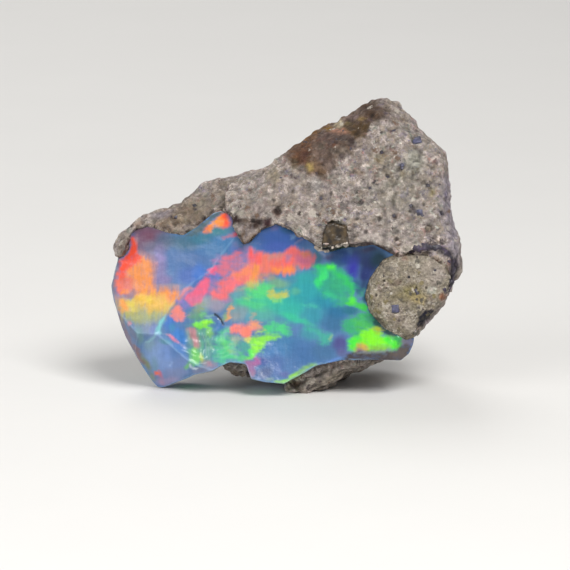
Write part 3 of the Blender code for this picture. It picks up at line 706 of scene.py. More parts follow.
# The flashes, each over the ones before it. The fine lines and chips come last.
FLASHES = (
    # The dull skin along the left edge, where the seam wedges out.
    Flash("#86707a", (
        (-17.6, 14.1), (-17.2, 13.9), (-17.2, 12.8), (-17.45, 12.0), (-17.6, 10.8), (-17.45, 10.2),
        (-17.15, 9.8), (-17.1, 8.5), (-16.85, 7.4), (-16.5, 6.4), (-15.8, 5.2), (-15.15, 4.2), (-14.6, 3.1),
        (-15.3, 3.0), (-16.4, 4.6), (-17.3, 7.0), (-17.9, 9.2), (-18.3, 10.8), (-17.9, 12.4),
    ), 0.12, 0.85, SOFT),
    Flash("#9c7468", band(0.3, (-15.55, 4.7), (-15.25, 4.0), (-15.05, 3.5)), 0.15, 0.8, SOFT),
    # The flame at the left edge.
    Flash("#fb7a5c", (
        (-17.4, 12.2), (-16.7, 12.2), (-16.2, 12.0), (-15.6, 12.0), (-15.6, 11.4), (-15.7, 10.9),
        (-15.95, 10.5), (-16.3, 10.3), (-16.7, 10.15), (-17.1, 10.1), (-17.35, 10.3), (-17.55, 10.8),
        (-17.5, 11.5),
    ), 0.12, 0.95, SOFT),
    Flash("#fb9c54", (
        (-16.6, 12.8), (-15.9, 13.3), (-15.3, 13.8), (-14.7, 14.0), (-14.2, 13.6), (-13.95, 12.9),
        (-13.85, 12.2), (-13.7, 11.5), (-13.55, 10.9), (-13.35, 10.5), (-12.9, 10.65), (-12.2, 10.55),
        (-11.3, 10.6), (-11.05, 10.2), (-11.1, 9.6), (-11.55, 9.0), (-12.3, 8.2), (-13.0, 8.6), (-14.3, 9.0),
        (-15.5, 9.2), (-15.7, 10.0), (-15.6, 11.0), (-15.65, 11.9), (-16.3, 12.0), (-16.6, 12.3),
    ), 0.24, 0.98, RIBBED),
    Flash("#fd5c44", (
        (-16.05, 15.9), (-15.8, 15.95), (-15.6, 15.5), (-15.45, 15.0), (-15.35, 14.6), (-15.2, 14.25),
        (-14.9, 13.9), (-15.1, 13.5), (-15.7, 13.25), (-16.1, 12.9), (-16.45, 12.5), (-16.6, 12.1),
        (-16.7, 11.7), (-17.2, 11.8), (-17.4, 12.1), (-17.25, 12.7), (-17.1, 13.1), (-17.2, 13.5),
        (-17.05, 13.75), (-16.7, 13.9), (-16.35, 14.2), (-16.2, 14.6), (-16.12, 15.1),
    ), 0.12, 1.0, SOFT),
    Flash("#d4776c", (
        (-16.9, 11.7), (-16.2, 11.7), (-15.75, 11.4), (-15.85, 10.8), (-16.3, 10.8), (-16.8, 11.2),
    ), 0.3, 0.75, SOFT),
    Flash("#f5a05c", band(
        0.3, (-17.1, 10.35), (-16.7, 10.45), (-16.3, 10.45), (-16.0, 10.6),
    ), 0.12, 0.7, SOFT),
    Flash("#b0848c", band(0.22, (-15.5, 15.3), (-15.45, 15.8), (-15.3, 16.3)), 0.1, 0.6, SOFT),
    Flash("#e2c25c", (
        (-17.1, 9.6), (-16.7, 9.65), (-16.0, 9.6), (-15.5, 9.8), (-14.7, 10.0), (-14.2, 10.1), (-13.8, 9.9),
        (-13.2, 10.1), (-12.8, 9.9), (-12.6, 9.5), (-12.0, 9.4), (-11.6, 9.0), (-12.1, 8.5), (-12.6, 8.2),
        (-13.2, 8.5), (-14.0, 8.4), (-15.0, 8.3), (-15.7, 8.3), (-16.2, 8.1), (-16.7, 8.2), (-17.05, 8.6),
    ), 0.3, 0.9, RIBBED),
    Flash("#b3b46e", (
        (-16.9, 8.5), (-15.7, 8.6), (-14.5, 8.5), (-13.2, 8.6), (-12.2, 8.5), (-12.7, 7.8), (-13.4, 7.5),
        (-14.6, 7.6), (-15.3, 7.3), (-16.0, 7.6), (-16.7, 7.5),
    ), 0.35, 0.85, RIBBED),
    Flash("#fca452", (
        (-17.1, 9.5), (-16.5, 9.6), (-16.3, 9.1), (-16.4, 8.5), (-16.9, 8.4), (-17.1, 8.9),
    ), 0.2, 0.9, SOFT),
    Flash("#f2bd56", (
        (-15.0, 9.7), (-14.0, 10.0), (-13.4, 9.6), (-12.6, 9.3), (-13.0, 8.8), (-14.2, 8.6),
    ), 0.3, 0.7, RIBBED),
    Flash("#ecd65a", (
        (-16.2, 9.45), (-15.7, 9.5), (-15.5, 9.1), (-15.6, 8.6), (-15.9, 8.5), (-16.1, 8.9),
    ), 0.2, 0.8),
    Flash("#fadc50", (
        (-14.45, 9.9), (-14.0, 9.85), (-13.9, 9.5), (-14.1, 9.2), (-14.4, 9.4),
    ), 0.15, 0.85, SOFT),
    Flash("#f8ca50", ((-15.2, 9.9), (-14.7, 9.9), (-14.7, 9.5), (-15.1, 9.5)), 0.18, 0.75, SOFT),
    Flash("#a9838c", (
        (-17.55, 10.15), (-17.0, 10.0), (-16.6, 10.05), (-16.1, 10.35), (-15.75, 10.7), (-15.65, 10.1),
        (-15.8, 9.8), (-16.5, 9.72), (-17.1, 9.7), (-17.5, 9.5),
    ), 0.1, 0.9, SOFT),
    Flash("#d88688", (
        (-16.25, 7.3), (-16.0, 7.35), (-15.85, 7.1), (-16.0, 6.9), (-16.2, 6.95),
    ), 0.1, 0.9, SOFT),
    Flash("#ff7350", (
        (-13.45, 2.05), (-13.2, 2.15), (-13.0, 2.0), (-12.95, 1.8), (-13.2, 1.7), (-13.45, 1.8),
    ), 0.1, 1.0, SOFT),
    Flash("#c47a94", ((-13.0, 2.0), (-12.75, 1.9), (-12.8, 1.65), (-13.0, 1.7)), 0.12, 0.8, SOFT),
    Flash("#b98ca4", ((-13.1, 1.3), (-12.8, 1.3), (-12.8, 1.05), (-13.1, 1.05)), 0.15, 0.6, SOFT),
    # The flash by the rock's tongue.
    Flash("#ff9a42", (
        (-6.7, 18.25), (-6.2, 18.3), (-5.85, 17.8), (-6.0, 17.4), (-6.4, 17.25), (-6.9, 17.1), (-7.3, 17.1),
        (-7.5, 16.85), (-7.7, 16.55), (-8.0, 16.42), (-8.35, 16.5), (-8.4, 16.75), (-8.1, 16.95),
        (-7.8, 17.15), (-7.6, 17.5), (-7.3, 17.85), (-7.0, 18.1),
    ), 0.12, 1.0),
    Flash("#ff563c", (
        (-6.7, 18.35), (-6.1, 18.35), (-5.75, 17.8), (-5.95, 17.35), (-6.4, 17.2), (-6.5, 17.7),
    ), 0.2, 1.0, SOFT),
    Flash("#f57c48", (
        (-8.5, 16.7), (-8.1, 17.0), (-7.8, 16.8), (-7.9, 16.45), (-8.3, 16.4),
    ), 0.15, 0.8, SOFT),
    Flash("#e4606c", ((-5.5, 16.45), (-5.1, 16.7), (-4.75, 16.5), (-4.85, 16.2), (-5.3, 16.1)), 0.12, 0.95),
    Flash("#c8747c", band(0.22, (-6.55, 15.9), (-6.0, 16.05), (-5.6, 16.2), (-5.1, 16.35)), 0.09, 0.85),
    Flash("#8682b4", ((-5.6, 15.4), (-5.0, 15.4), (-5.0, 15.1), (-5.5, 15.1)), 0.15, 0.7, SOFT),
    # The pink band and its fork.
    Flash("#a083b4", (
        (-6.1, 12.2), (-5.8, 13.2), (-5.3, 14.0), (-4.6, 14.4), (-4.2, 15.0), (-3.9, 14.7), (-3.85, 13.8),
        (-4.0, 13.3), (-4.6, 12.9), (-5.0, 12.5), (-5.5, 12.2),
    ), 0.25, 0.9),
    Flash("#7c7cc8", (
        (-8.2, 12.2), (-7.4, 12.3), (-6.9, 12.4), (-6.6, 12.1), (-6.9, 11.8), (-7.3, 11.4), (-7.7, 11.2),
        (-8.0, 11.7),
    ), 0.15, 0.9),
    Flash("#b482b4", (
        (-7.8, 11.3), (-7.3, 11.5), (-6.9, 11.3), (-7.1, 10.8), (-7.7, 10.4), (-7.9, 10.0), (-8.4, 9.9),
        (-8.3, 10.5), (-8.0, 11.0),
    ), 0.2, 0.85),
    Flash("#fa6e90", (
        (-10.6, 9.65), (-9.9, 10.3), (-9.3, 10.9), (-8.8, 11.45), (-8.3, 11.9), (-7.9, 11.75), (-7.8, 11.4),
        (-8.0, 11.0), (-8.2, 10.5), (-8.3, 10.0), (-8.6, 9.6), (-9.0, 9.3), (-9.4, 9.05), (-9.7, 9.1),
        (-10.1, 9.4),
    ), 0.1, 1.0, SOFT),
    Flash("#d484a8", ((-10.0, 9.7), (-9.4, 9.9), (-8.9, 9.7), (-9.2, 9.3), (-9.8, 9.4)), 0.2, 0.7, SOFT),
    Flash("#e5929c", (
        (-10.95, 9.85), (-10.6, 10.5), (-10.0, 10.85), (-9.6, 10.75), (-10.2, 10.35), (-10.75, 9.65),
    ), 0.08, 0.9, SOFT),
    Flash("#a98cc4", band(0.16, (-10.75, 9.55), (-10.2, 10.15), (-9.4, 10.85)), 0.07, 0.7, SOFT),
    Flash("#fa6a8e", (
        (-8.15, 12.25), (-7.9, 12.75), (-7.5, 13.05), (-7.15, 12.85), (-7.1, 12.5), (-7.4, 12.2),
    ), 0.13, 1.0),
    Flash("#b085b2", (
        (-7.7, 13.6), (-7.3, 14.0), (-6.8, 13.9), (-6.5, 13.6), (-7.0, 13.4), (-7.5, 13.4),
    ), 0.2, 0.8),
    Flash("#e2788c", (
        (-7.2, 12.6), (-6.8, 13.0), (-6.45, 13.5), (-6.4, 14.05), (-6.0, 14.1), (-5.6, 14.1), (-5.4, 14.3),
        (-5.0, 14.5), (-4.6, 14.4), (-4.8, 14.15), (-5.4, 13.9), (-5.65, 13.4), (-5.85, 12.9), (-6.1, 12.4),
        (-6.4, 11.9), (-6.8, 12.2),
    ), 0.16, 0.92),
    Flash("#fb7a80", (
        (-7.9, 10.0), (-7.85, 10.4), (-7.5, 10.65), (-7.1, 10.5), (-6.9, 10.8), (-6.95, 11.3), (-6.5, 11.6),
        (-6.2, 11.75), (-5.8, 11.95), (-5.6, 12.2), (-5.3, 12.4), (-4.8, 12.5), (-4.4, 12.9), (-4.0, 13.15),
        (-3.85, 13.4), (-3.9, 13.9), (-3.85, 14.5), (-3.6, 14.95), (-3.35, 14.6), (-3.3, 14.15),
        (-3.1, 14.35), (-2.8, 14.55), (-2.45, 14.45), (-2.35, 14.0), (-2.1, 14.15), (-1.85, 13.9),
        (-1.85, 13.2), (-1.95, 12.6), (-2.2, 12.35), (-2.6, 12.35), (-2.9, 12.2), (-2.9, 11.7), (-3.0, 11.3),
        (-3.4, 11.3), (-3.8, 11.4), (-4.3, 11.25), (-4.9, 11.0), (-5.3, 10.6), (-5.7, 10.3), (-6.0, 10.0),
        (-6.3, 9.7), (-6.8, 9.6), (-7.2, 9.75), (-7.6, 9.7),
    ), 0.14, 1.0, SOFT),
    Flash("#a584b0", ((-7.05, 11.0), (-6.75, 11.0), (-6.7, 10.5), (-7.0, 10.4)), 0.15, 0.75),
    Flash("#fb946a", (
        (-5.5, 12.3), (-4.8, 12.5), (-4.3, 12.9), (-3.8, 13.1), (-3.7, 12.4), (-4.0, 11.9), (-4.8, 11.9),
    ), 0.25, 0.9),
    Flash("#fb9f50", (
        (-3.5, 12.8), (-3.3, 13.3), (-2.7, 13.3), (-2.7, 12.6), (-3.0, 12.0), (-3.0, 11.4), (-3.6, 11.5),
        (-3.6, 12.2),
    ), 0.2, 0.9, RIBBED),
    Flash("#ff5c5a", (
        (-3.8, 14.4), (-3.6, 14.8), (-3.4, 14.3), (-3.35, 13.8), (-3.65, 13.8),
    ), 0.14, 0.9, RIBBED),
    Flash("#e46a80", ((-3.8, 13.9), (-3.3, 13.9), (-3.2, 13.4), (-3.7, 13.2)), 0.18, 0.7, RIBBED),
    Flash("#ff685c", ((-3.1, 14.2), (-2.5, 14.4), (-2.5, 13.5), (-3.1, 13.4)), 0.18, 0.9, RIBBED),
    Flash("#fb7a54", ((-2.25, 14.0), (-1.95, 13.9), (-1.95, 12.6), (-2.25, 12.5)), 0.1, 0.95, RIBBED),
    Flash("#b27c7c", band(0.2, (-2.38, 14.2), (-2.38, 13.4), (-2.4, 12.5)), 0.08, 0.7, SOFT),
    Flash("#d2c46c", (
        (-3.95, 11.4), (-3.0, 11.45), (-2.85, 11.0), (-3.1, 10.7), (-3.6, 10.7), (-3.95, 11.0),
    ), 0.22, 0.9, RIBBED),
    Flash("#d89482", ((-2.9, 11.9), (-2.4, 12.0), (-2.15, 11.7), (-2.4, 11.4), (-2.7, 11.7)), 0.12, 0.85),
    Flash("#ee8070", (
        (-2.5, 14.2), (-1.9, 14.3), (-1.3, 14.0), (-1.2, 12.3), (-2.0, 12.25), (-2.6, 12.4),
    ), 0.16, 0.9, RIBBED),
    Flash("#f4766a", (
        (-1.75, 14.0), (-1.3, 14.25), (-0.6, 14.2), (-0.3, 14.45), (0.1, 14.75), (0.6, 14.85), (1.0, 14.85),
        (1.6, 14.55), (2.3, 14.45), (2.7, 14.2), (2.9, 13.9), (2.65, 13.6), (2.6, 13.25), (2.2, 12.9),
        (1.6, 12.85), (1.2, 12.95), (0.95, 12.95), (0.95, 12.65), (0.8, 12.45), (0.5, 12.3), (0.0, 12.2),
        (-0.5, 12.2), (-0.9, 12.3), (-1.3, 12.35), (-1.7, 12.45), (-1.7, 13.2),
    ), 0.14, 1.0, RIBBED),
    Flash("#b8908a", (
        (-1.7, 14.2), (-0.4, 14.25), (-0.3, 13.95), (-1.0, 13.85), (-1.7, 13.7),
    ), 0.2, 0.75, SOFT),
    Flash("#ff6a66", (
        (-0.3, 13.9), (0.1, 13.6), (0.9, 13.6), (0.8, 13.0), (0.1, 13.1), (-0.4, 13.4),
    ), 0.2, 0.8, RIBBED),
    Flash("#fb974e", (
        (-1.6, 12.8), (-1.0, 12.9), (-0.4, 12.75), (0.1, 12.8), (0.8, 12.9), (0.8, 12.5), (0.2, 12.3),
        (-0.6, 12.3), (-1.4, 12.45),
    ), 0.18, 0.9, RIBBED),
    Flash("#e0646a", ((-0.1, 14.5), (0.6, 14.8), (1.4, 14.5), (1.3, 14.1), (0.4, 14.1)), 0.2, 0.7, SOFT),
    Flash("#a27ea4", ((0.0, 14.1), (0.35, 14.0), (0.35, 13.6), (0.05, 13.5)), 0.15, 0.85, SOFT),
    Flash("#b86a8c", (
        (0.95, 14.0), (1.6, 14.15), (2.5, 14.0), (2.8, 13.8), (2.4, 13.3), (1.7, 13.15), (1.1, 13.3),
    ), 0.2, 0.85, RIBBED),
    Flash("#c4805e", ((1.6, 14.35), (2.4, 14.35), (2.6, 14.15), (1.9, 14.1)), 0.12, 0.7, SOFT),
    Flash("#a08c84", ((1.0, 13.2), (1.3, 13.0), (1.3, 12.6), (0.95, 12.4)), 0.15, 0.7, RIBBED),
    Flash("#d87c86", (
        (-6.0, 12.6), (-5.4, 13.3), (-5.0, 14.0), (-4.6, 13.6), (-5.0, 12.9), (-5.5, 12.4),
    ), 0.2, 0.6),
    Flash("#c98a76", ((-2.9, 12.3), (-2.0, 12.35), (-1.2, 12.2), (-1.4, 11.9), (-2.4, 11.8)), 0.2, 0.6),
    # The wedge below the pink band.
    Flash("#f4928e", (
        (-11.65, 8.7), (-11.1, 8.9), (-10.6, 8.7), (-10.3, 8.3), (-10.2, 7.9), (-10.35, 7.5), (-10.7, 7.3),
        (-11.0, 7.5), (-11.3, 7.3), (-11.6, 7.4), (-11.95, 7.8), (-11.8, 8.3),
    ), 0.1, 0.95),
    Flash("#ff917c", ((-11.4, 8.6), (-10.9, 8.7), (-10.6, 8.3), (-11.1, 8.1)), 0.18, 0.8, SOFT),
    Flash("#9a7ee0", ((-11.15, 9.35), (-10.8, 9.5), (-10.5, 9.3), (-10.9, 9.05)), 0.14, 0.9, SOFT),
    Flash("#9082c8", (
        (-10.8, 9.3), (-10.3, 9.4), (-10.0, 9.1), (-10.3, 8.8), (-10.7, 8.9),
    ), 0.18, 0.85, SOFT),
    # Painted highlight: the thin pale-blue and pink glint along the edge between the lower left facets.
    Flash("#8ba6c4", band(0.12, (-12.9, 6.15), (-12.4, 6.12), (-12.0, 5.98)), 0.07, 0.8, SOFT),
    Flash("#f08fa4", band(
        0.22, (-12.5, 6.12), (-12.1, 6.02), (-11.75, 5.72), (-11.4, 5.38), (-11.05, 5.08),
    ), 0.07, 1.0, SOFT),
    Flash("#a9b2dc", band(
        0.16, (-11.1, 5.12), (-10.7, 4.88), (-10.35, 4.6), (-10.2, 4.55),
    ), 0.07, 0.85, SOFT),
    # The chip.
    Flash("#93ac7c", (
        (-9.9, 7.9), (-9.5, 8.7), (-9.1, 9.3), (-8.6, 9.0), (-8.8, 8.3), (-9.3, 7.8),
    ), 0.2, 0.7),
    Flash("#a7b465", ((-9.7, 7.7), (-9.3, 8.1), (-8.9, 8.6), (-8.8, 8.2), (-9.2, 7.7)), 0.14, 0.6),
    Flash("#6db494", (
        (-9.9, 7.0), (-8.0, 7.4), (-7.4, 6.8), (-7.5, 5.0), (-8.0, 3.2), (-9.4, 3.0), (-9.9, 4.6),
    ), 0.3, 0.55, RIBBED),
    Flash("#5fa088", (
        (-9.7, 8.1), (-9.1, 8.3), (-8.5, 8.2), (-8.1, 7.9), (-8.6, 7.5), (-9.4, 7.4), (-9.8, 7.7),
    ), 0.15, 0.85),
    Flash("#7cd088", ((-8.95, 8.15), (-8.5, 8.2), (-8.3, 7.9), (-8.55, 7.7), (-8.9, 7.85)), 0.1, 0.85),
    Flash("#8cbcb4", band(0.16, (-8.3, 7.9), (-7.8, 7.82), (-7.2, 8.0)), 0.07, 0.8, SOFT),
    Flash("#86f05c", (
        (-9.65, 7.1), (-9.3, 7.4), (-9.0, 7.25), (-8.6, 7.4), (-8.0, 7.55), (-7.5, 7.5), (-7.6, 7.2),
        (-8.0, 7.0), (-7.8, 6.7), (-8.1, 6.5), (-8.6, 6.8), (-8.85, 6.55), (-9.05, 6.4), (-9.35, 6.7),
        (-9.6, 6.8),
    ), 0.08, 1.0),
    Flash("#a4fc50", ((-8.5, 7.4), (-7.7, 7.5), (-8.0, 7.15), (-8.5, 7.0)), 0.12, 0.85),
    Flash("#8ed272", ((-8.1, 6.6), (-7.75, 6.6), (-7.65, 6.1), (-7.8, 5.7), (-8.0, 6.0)), 0.1, 0.9, RIBBED),
    Flash("#cc8e96", (
        (-10.05, 6.7), (-9.6, 6.7), (-9.3, 6.2), (-9.1, 5.5), (-9.1, 4.8), (-9.3, 4.5), (-9.5, 4.8),
        (-9.65, 5.4), (-9.9, 6.0),
    ), 0.12, 0.92, RIBBED),
    Flash("#9fb4a8", band(0.2, (-10.1, 6.4), (-10.0, 5.7), (-9.8, 5.0)), 0.09, 0.7, SOFT),
    Flash("#80d46c", (
        (-9.8, 4.4), (-9.4, 4.6), (-9.0, 4.4), (-8.9, 3.7), (-9.2, 3.0), (-9.7, 2.85), (-10.1, 2.75),
        (-10.35, 2.6), (-10.2, 3.0), (-9.9, 3.5),
    ), 0.14, 0.9, RIBBED),
    Flash("#7cc4a0", ((-10.0, 3.3), (-9.6, 3.4), (-9.3, 2.9), (-9.8, 2.8)), 0.15, 0.7, RIBBED),
    Flash("#b8d466", (
        (-8.85, 4.2), (-8.62, 4.0), (-8.48, 3.4), (-8.6, 3.1), (-8.8, 3.3), (-8.9, 3.8),
    ), 0.08, 0.95, SOFT),
    Flash("#90c8a4", band(0.16, (-8.2, 5.9), (-8.12, 5.4), (-8.0, 5.0)), 0.07, 0.8, SOFT),
    Flash("#96cca8", band(0.2, (-7.85, 5.0), (-7.65, 4.7), (-7.5, 4.4)), 0.08, 0.75, SOFT),
    Flash("#5c90ac", band(0.14, (-8.75, 6.0), (-8.5, 5.0), (-8.3, 3.6)), 0.06, 0.7, SOFT),
    Flash("#9cc0c4", band(0.1, (-8.6, 6.1), (-8.35, 5.0), (-8.15, 3.6)), 0.05, 0.7, SOFT),
    Flash("#7fb8ac", band(0.12, (-8.1, 4.9), (-7.95, 4.1), (-7.85, 3.3)), 0.06, 0.7, SOFT),
    Flash("#a08e9a", (
        (-8.6, 3.1), (-8.0, 3.3), (-7.4, 3.2), (-7.3, 2.8), (-8.0, 2.6), (-8.6, 2.7),
    ), 0.2, 0.8, SOFT),
    Flash("#b28a9a", ((-8.0, 3.2), (-7.75, 3.15), (-7.8, 2.8), (-8.0, 2.8)), 0.1, 0.8, SOFT),
    Flash("#8f94b2", (
        (-9.5, 2.4), (-8.6, 2.5), (-7.6, 2.6), (-7.3, 2.3), (-8.4, 1.9), (-9.5, 1.7),
    ), 0.2, 0.7, SOFT),
    # Painted highlight: a white glint along the chip's lower edge.
    Flash("#d4e2ee", band(
        0.14, (-9.95, 3.0), (-9.75, 2.7), (-9.5, 2.52), (-9.2, 2.45), (-8.95, 2.55),
    ), 0.05, 0.95, SOFT),
    # The green field in the middle.
    Flash("#b0ac98", ((-5.3, 10.7), (-4.5, 10.9), (-4.0, 10.7), (-4.4, 10.4), (-5.1, 10.4)), 0.2, 0.7),
    Flash("#70a0b2", (
        (-5.85, 10.2), (-5.3, 10.3), (-4.6, 10.15), (-4.2, 9.9), (-4.8, 9.7), (-5.5, 9.7),
    ), 0.18, 0.85),
    Flash("#60dd7e", (
        (-4.0, 10.7), (-3.2, 10.6), (-2.8, 11.2), (-2.2, 11.3), (-1.6, 10.9), (-1.7, 10.4), (-2.2, 9.95),
        (-2.9, 9.85), (-3.6, 10.2),
    ), 0.25, 0.9),
    Flash("#92d47c", ((-4.3, 9.8), (-3.8, 9.95), (-3.4, 9.8), (-3.7, 9.5), (-4.2, 9.55)), 0.15, 0.85),
    Flash("#5cd488", (
        (-5.0, 9.5), (-4.0, 9.6), (-3.0, 9.2), (-2.2, 9.1), (-2.5, 8.5), (-3.2, 8.6), (-4.2, 9.0),
    ), 0.25, 0.7),
    Flash("#80e272", ((-1.8, 9.9), (-0.9, 9.7), (-0.2, 9.9), (-0.5, 9.4), (-1.2, 9.35)), 0.15, 0.85),
    Flash("#cdc85e", (
        (-1.95, 10.2), (-1.5, 10.55), (-1.2, 10.2), (-0.8, 10.0), (-0.3, 10.2), (0.1, 10.45), (0.2, 10.15),
        (-0.3, 9.8), (-0.9, 9.6), (-1.5, 9.75),
    ), 0.14, 0.92),
    Flash("#54d882", (
        (-2.6, 6.3), (-2.2, 6.6), (-1.9, 7.0), (-1.4, 7.25), (-1.0, 6.95), (-0.4, 6.9), (0.0, 6.85),
        (0.35, 6.4), (0.2, 5.95), (-0.2, 6.0), (-0.6, 6.25), (-1.1, 6.2), (-1.8, 6.1),
    ), 0.22, 0.9),
    Flash("#62ca9a", (
        (-7.0, 6.0), (-6.5, 6.45), (-6.1, 6.7), (-5.9, 6.4), (-6.3, 6.0), (-6.2, 5.5), (-5.6, 5.7),
        (-5.2, 5.2), (-4.9, 5.0), (-5.1, 4.6), (-5.0, 4.1), (-5.2, 3.5), (-6.0, 3.2), (-6.7, 3.0),
        (-7.2, 3.3), (-7.35, 4.0), (-7.3, 4.6), (-7.1, 5.0), (-7.3, 5.4),
    ), 0.18, 0.92),
    Flash("#70e286", ((-6.7, 5.3), (-6.2, 5.4), (-5.9, 4.9), (-6.0, 4.4), (-6.5, 4.5)), 0.2, 0.85),
    Flash("#5cdc8e", ((-6.6, 4.0), (-5.9, 4.1), (-5.6, 3.7), (-6.2, 3.5)), 0.18, 0.85),
    Flash("#98c882", ((-6.0, 4.3), (-5.4, 4.4), (-5.2, 4.1), (-5.7, 4.0)), 0.15, 0.7),
    Flash("#a8b892", ((-5.6, 5.8), (-5.0, 5.9), (-4.6, 5.5), (-5.0, 5.0), (-5.5, 5.2)), 0.22, 0.75),
    Flash("#56a89a", (
        (-4.95, 5.0), (-4.3, 5.25), (-3.6, 5.1), (-3.5, 4.6), (-3.9, 4.2), (-4.4, 4.1), (-4.9, 4.3),
    ), 0.2, 0.9),
    Flash("#62cf82", (
        (-5.3, 3.5), (-4.9, 3.95), (-4.4, 3.95), (-4.0, 3.7), (-4.1, 3.3), (-4.6, 3.2),
    ), 0.16, 0.9),
    Flash("#8ee850", (
        (-4.0, 5.4), (-3.5, 5.75), (-3.0, 5.75), (-2.6, 5.65), (-2.1, 5.95), (-1.6, 6.05), (-1.1, 5.95),
        (-0.8, 5.7), (-1.2, 5.5), (-1.8, 5.3), (-2.2, 4.95), (-2.3, 4.6), (-2.5, 4.35), (-2.9, 4.15),
        (-3.1, 3.85), (-3.4, 3.6), (-3.7, 3.45), (-4.0, 3.4), (-3.75, 3.9), (-3.5, 4.3), (-3.4, 4.7),
        (-3.2, 5.05), (-3.6, 5.2),
    ), 0.12, 1.0),
    Flash("#a2fc4c", (
        (-3.2, 5.2), (-2.6, 5.3), (-2.3, 4.9), (-2.6, 4.4), (-3.1, 4.4), (-3.3, 4.8),
    ), 0.2, 0.85),
    Flash("#5ef060", ((-3.7, 4.3), (-3.2, 4.3), (-3.3, 3.8), (-3.8, 3.5), (-3.9, 3.8)), 0.15, 0.85),
    Flash("#8c9c8c", band(0.2, (-3.2, 5.75), (-2.8, 5.65), (-2.5, 5.75)), 0.1, 0.6, SOFT),
    Flash("#fb8a80", (
        (-5.85, 6.7), (-5.5, 6.95), (-5.0, 6.8), (-4.7, 6.95), (-4.2, 6.9), (-3.8, 6.95), (-3.6, 7.25),
        (-3.3, 7.35), (-3.0, 7.1), (-2.7, 6.9), (-2.45, 6.6), (-2.9, 6.5), (-3.45, 6.4), (-3.6, 6.1),
        (-3.8, 5.85), (-4.1, 5.7), (-4.5, 5.9), (-4.7, 6.2), (-5.0, 6.3), (-5.2, 6.15), (-5.6, 6.15),
        (-5.8, 6.4),
    ), 0.12, 0.98),
    Flash("#ff8c74", ((-4.7, 6.7), (-3.9, 6.8), (-3.7, 6.3), (-4.1, 5.9), (-4.6, 6.2)), 0.2, 0.8, SOFT),
    Flash("#eda678", ((-3.8, 7.0), (-3.4, 7.3), (-2.9, 7.05), (-3.1, 6.75), (-3.6, 6.7)), 0.15, 0.85),
    Flash("#b8a488", ((-3.1, 6.8), (-2.6, 6.8), (-2.5, 6.4), (-3.1, 6.3)), 0.16, 0.8),
    Flash("#e2e06c", ((-4.5, 5.5), (-4.05, 5.8), (-3.65, 5.6), (-3.9, 5.35), (-4.3, 5.35)), 0.1, 0.95),
    Flash("#c2dc70", band(0.16, (-3.1, 6.05), (-2.6, 6.2), (-2.1, 6.4)), 0.08, 0.8),
    Flash("#ecaa74", (
        (-5.7, 8.9), (-5.45, 8.6), (-5.65, 8.2), (-5.75, 7.7), (-5.95, 7.35), (-6.2, 7.4), (-6.2, 7.8),
        (-6.0, 8.3), (-5.9, 8.7),
    ), 0.1, 0.92),
    Flash("#a2c272", ((-6.6, 8.0), (-6.3, 8.1), (-6.2, 7.6), (-6.5, 7.5)), 0.12, 0.75),
    Flash("#c0a898", ((-3.6, 8.1), (-3.25, 8.1), (-3.2, 7.7), (-3.5, 7.7)), 0.12, 0.75),
    # Mauve and lime at the lower edge.
    Flash("#a8709c", (
        (-4.1, 3.15), (-3.5, 3.25), (-3.2, 3.5), (-2.8, 3.55), (-2.45, 3.4), (-2.6, 3.1), (-3.0, 2.9),
        (-3.1, 2.5), (-3.3, 2.0), (-3.5, 1.5), (-4.0, 1.6), (-4.1, 2.4),
    ), 0.14, 0.92),
    Flash("#b866a8", ((-3.3, 3.4), (-2.6, 3.5), (-2.6, 3.15), (-3.2, 3.1)), 0.14, 0.85),
    Flash("#957a90", ((-3.95, 2.2), (-3.3, 2.2), (-3.4, 1.5), (-4.0, 1.5)), 0.18, 0.8, SOFT),
    Flash("#8cc266", (
        (-0.8, 1.0), (-0.3, 1.1), (0.2, 1.45), (0.8, 1.95), (1.5, 2.35), (2.2, 2.75), (2.9, 3.1), (3.1, 2.8),
        (2.3, 2.25), (1.5, 1.6), (0.8, 1.2), (0.0, 0.85), (-0.6, 0.8),
    ), 0.12, 0.9),
    Flash("#9ce458", band(0.3, (-0.6, 1.0), (0.0, 1.2), (0.6, 1.6), (1.1, 1.95)), 0.1, 0.9),
    # The arc of green and the lime corner at the right.
    Flash("#3cb088", (
        (3.0, 12.9), (4.6, 13.1), (5.6, 12.4), (6.5, 11.6), (6.95, 10.8), (6.8, 10.0), (6.2, 9.2), (5.0, 9.4),
        (3.8, 10.1), (3.1, 11.2),
    ), 0.3, 0.8),
    Flash("#37967c", ((4.5, 11.9), (5.3, 11.9), (5.7, 11.2), (5.3, 10.6), (4.6, 10.8)), 0.3, 0.6),
    Flash("#42b882", (
        (4.9, 12.3), (5.6, 12.0), (6.3, 11.5), (6.3, 10.9), (5.6, 10.6), (5.0, 11.3),
    ), 0.35, 0.85),
    Flash("#3cc86c", (
        (2.9, 13.05), (3.4, 13.25), (4.0, 13.3), (4.4, 13.35), (4.85, 13.15), (5.15, 12.75), (5.4, 12.35),
        (5.9, 12.25), (6.35, 11.85), (6.75, 11.35), (6.95, 10.85), (6.85, 10.2), (6.6, 10.8), (6.2, 11.2),
        (5.9, 11.5), (5.5, 11.8), (5.1, 12.05), (4.7, 12.4), (4.35, 12.7), (4.0, 12.85), (3.4, 12.85),
    ), 0.14, 0.95, SOFT),
    Flash("#5cf858", (
        (4.3, 13.1), (4.7, 13.2), (5.05, 12.85), (5.1, 12.5), (4.75, 12.55), (4.35, 12.85),
    ), 0.14, 1.0, SOFT),
    Flash("#40e27c", (
        (3.3, 13.0), (4.0, 13.0), (4.15, 12.4), (4.05, 11.9), (3.8, 11.6), (3.6, 11.1), (3.4, 10.8),
        (3.2, 11.0), (3.1, 11.5), (3.4, 11.9), (3.4, 12.4),
    ), 0.16, 0.95, RIBBED),
    Flash("#4cf07c", ((3.6, 12.3), (4.0, 12.3), (3.9, 11.8), (3.6, 11.6)), 0.14, 0.8, SOFT),
    Flash("#40c48c", (
